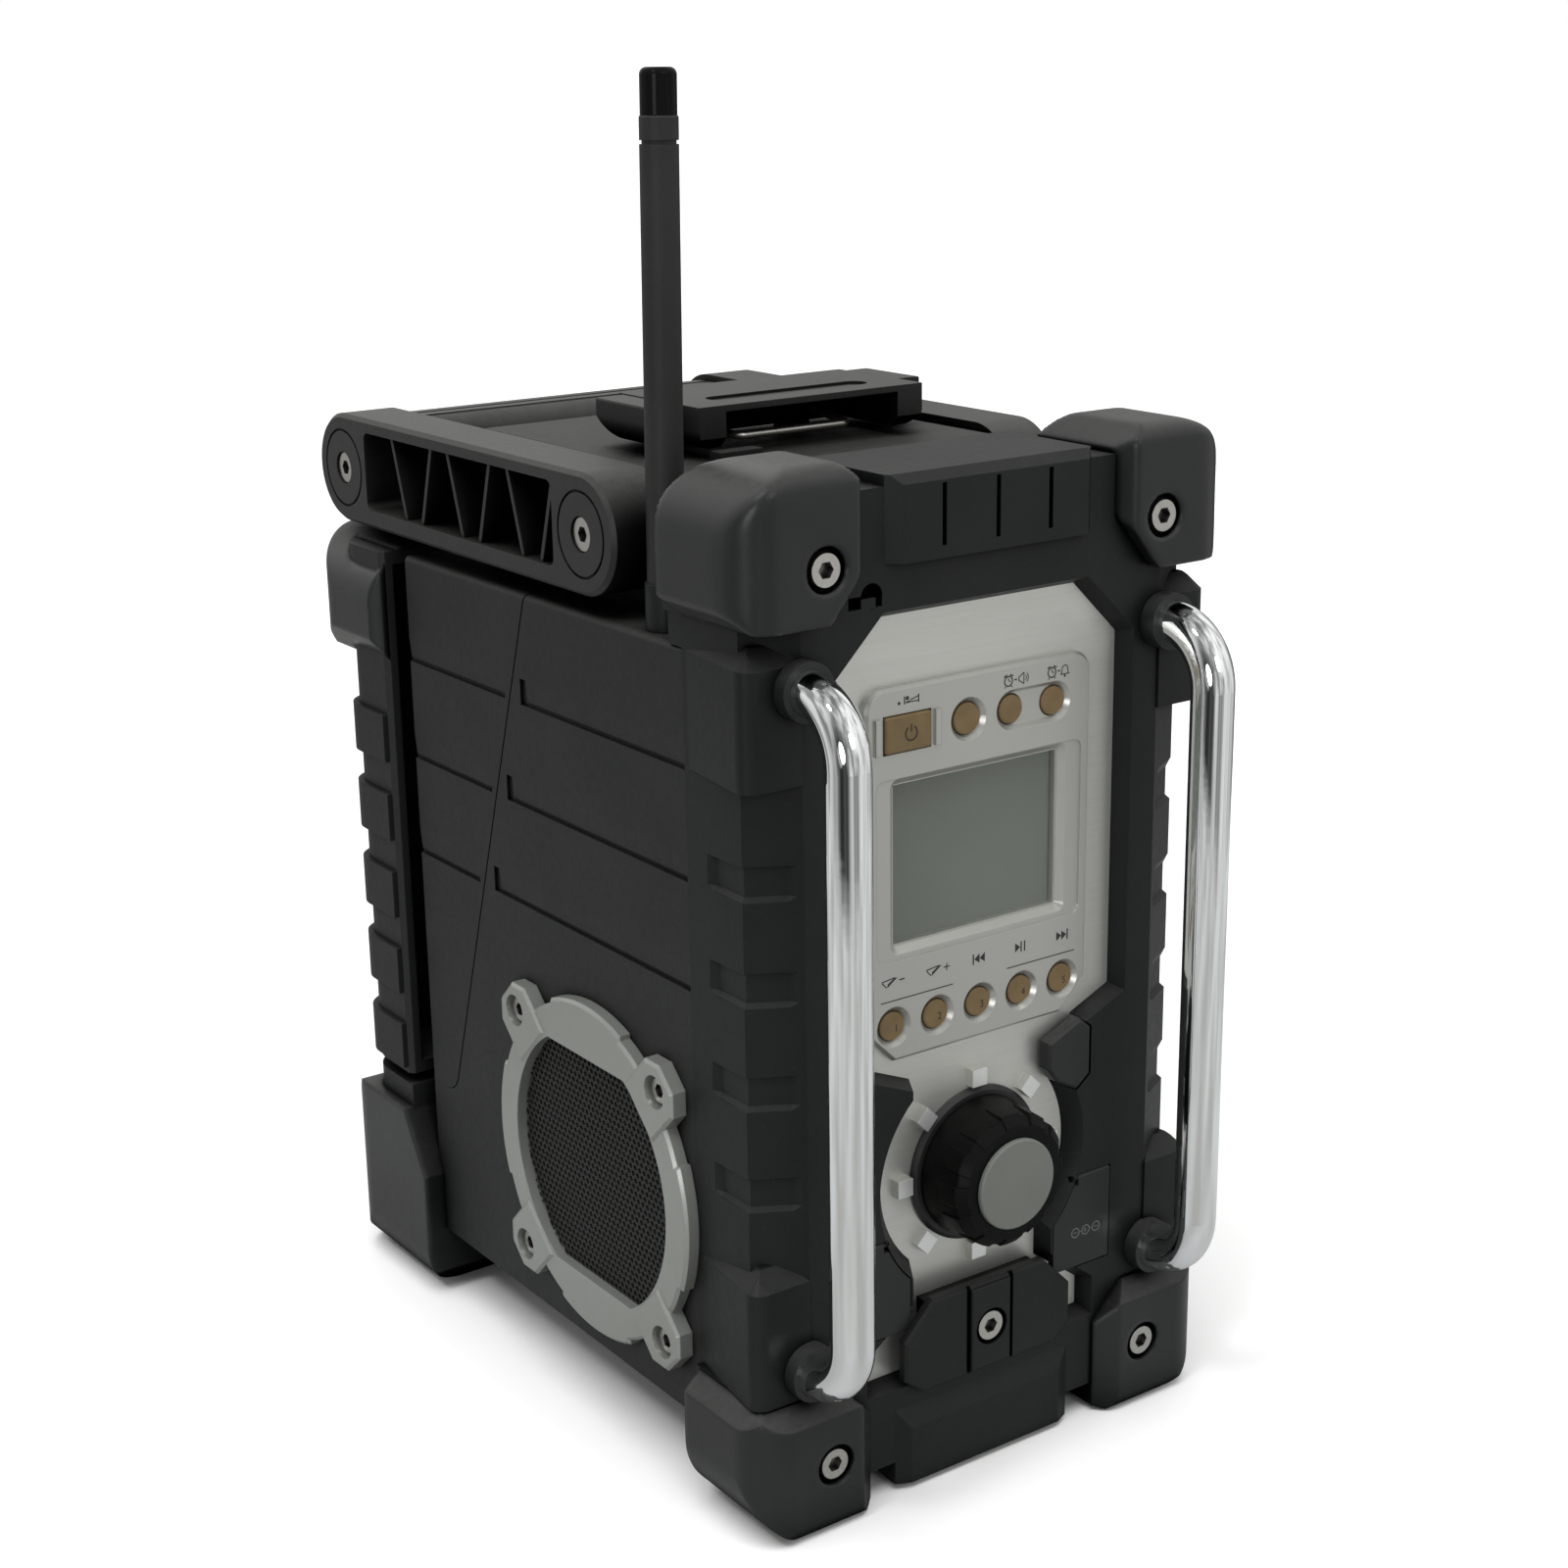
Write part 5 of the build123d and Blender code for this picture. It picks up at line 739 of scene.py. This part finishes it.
widest_glint = 40
for name, aim, spread, power in (
    ("overhead_light", (0.20, 0.16, -0.95), 50, 2.45),
    ("window_light", (0.53, 0.14, -0.78), 9, 0.45),
    ("side_light", (0.80, 0.52, -0.10), 22, 0.60),
    ("front_light", (0.03, 0.90, -0.42), 20, 0.25),
):
    lamp = bpy.data.lights.new(name, "SUN")
    lamp.angle = radians(spread)
    lamp.energy = power
    holder = bpy.data.objects.new(name, lamp)
    bpy.context.collection.objects.link(holder)
    holder.visible_glossy = spread < widest_glint
    holder.rotation_euler = Vector(aim).to_track_quat("-Z", "Y").to_euler()

world = bpy.data.worlds.new("studio")
bpy.context.scene.world = world
world.use_nodes = True
sky = world.node_tree.nodes["Background"]
room = Channel(world.node_tree)
ray = room.node("ShaderNodeTexCoord", output=0)


def towards(x, y, z=0.0):
    """How far a ray goes one way, from -1 to 1."""
    return room.node("ShaderNodeVectorMath", {"operation": "DOT_PRODUCT"}, {0: ray, 1: (x, y, z)}, 1)


# The room is dim all round, with a pale ceiling and a bright wall low behind. In the loop are
# a wall behind at the left, one in front at the right, a narrow upright strip and a window.
height = towards(0, 0, 1)
glow = 0.05 + height.clipped(0.1, 0.9) * 0.42
glow = glow + towards(0.50, 0.78, 0.37).clipped(0.55, 0.9) * 0.62 * height.clipped(0.0, 0.1)
for (x, y), faint, full, strength in (
    ((-0.57, 0.82), 0.30, 0.75, 0.44),
    ((0.57, -0.82), 0.15, 0.75, 0.52),
    ((-0.45, -0.89), 0.955, 0.965, 0.16),
    ((-0.93, -0.37), 0.985, 0.992, 0.60),
):
    glow = glow + towards(x, y).clipped(faint, full) * strength
drawn_out = room.node("ShaderNodeMapping", None, {"Vector": ray, "Scale": (1, 1, 0.4)})
clutter = room.node("ShaderNodeTexNoise", None, {"Vector": drawn_out, "Scale": 3.0, "Detail": 2.0})
glow = glow * (0.4 + clutter.clipped(0.38, 0.62) * 0.95)
seen = room.node("ShaderNodeLightPath", output=0)
tint = glow.between((0, 0, 0, 1), (1.0, 1.0, 0.99, 1))
world.node_tree.links.new(seen.between(tint, (1, 1, 1, 1)).socket, sky.inputs["Color"])
sky.inputs["Strength"].default_value = 1.0
bpy.context.scene.view_settings.view_transform = "Standard"

camera_place = Vector((-0.4171, -0.5999, 0.3942))
azimuth = radians(-35.30)
elevation = radians(16.60)
roll = radians(-0.881)
right = Vector((cos(azimuth), sin(azimuth), 0))
up = Vector((-sin(azimuth) * sin(elevation), cos(azimuth) * sin(elevation), cos(elevation)))
back = right.cross(up)
level = Matrix((right, up, back)).transposed()
camera = bpy.data.cameras.new("camera")
camera.lens = 58.51
camera.sensor_width = 36
camera_holder = bpy.data.objects.new("camera", camera)
bpy.context.collection.objects.link(camera_holder)
tilted = level @ Matrix.Rotation(roll, 3, "Z")
camera_holder.matrix_world = Matrix.Translation(camera_place) @ tilted.to_4x4()
bpy.context.scene.camera = camera_holder
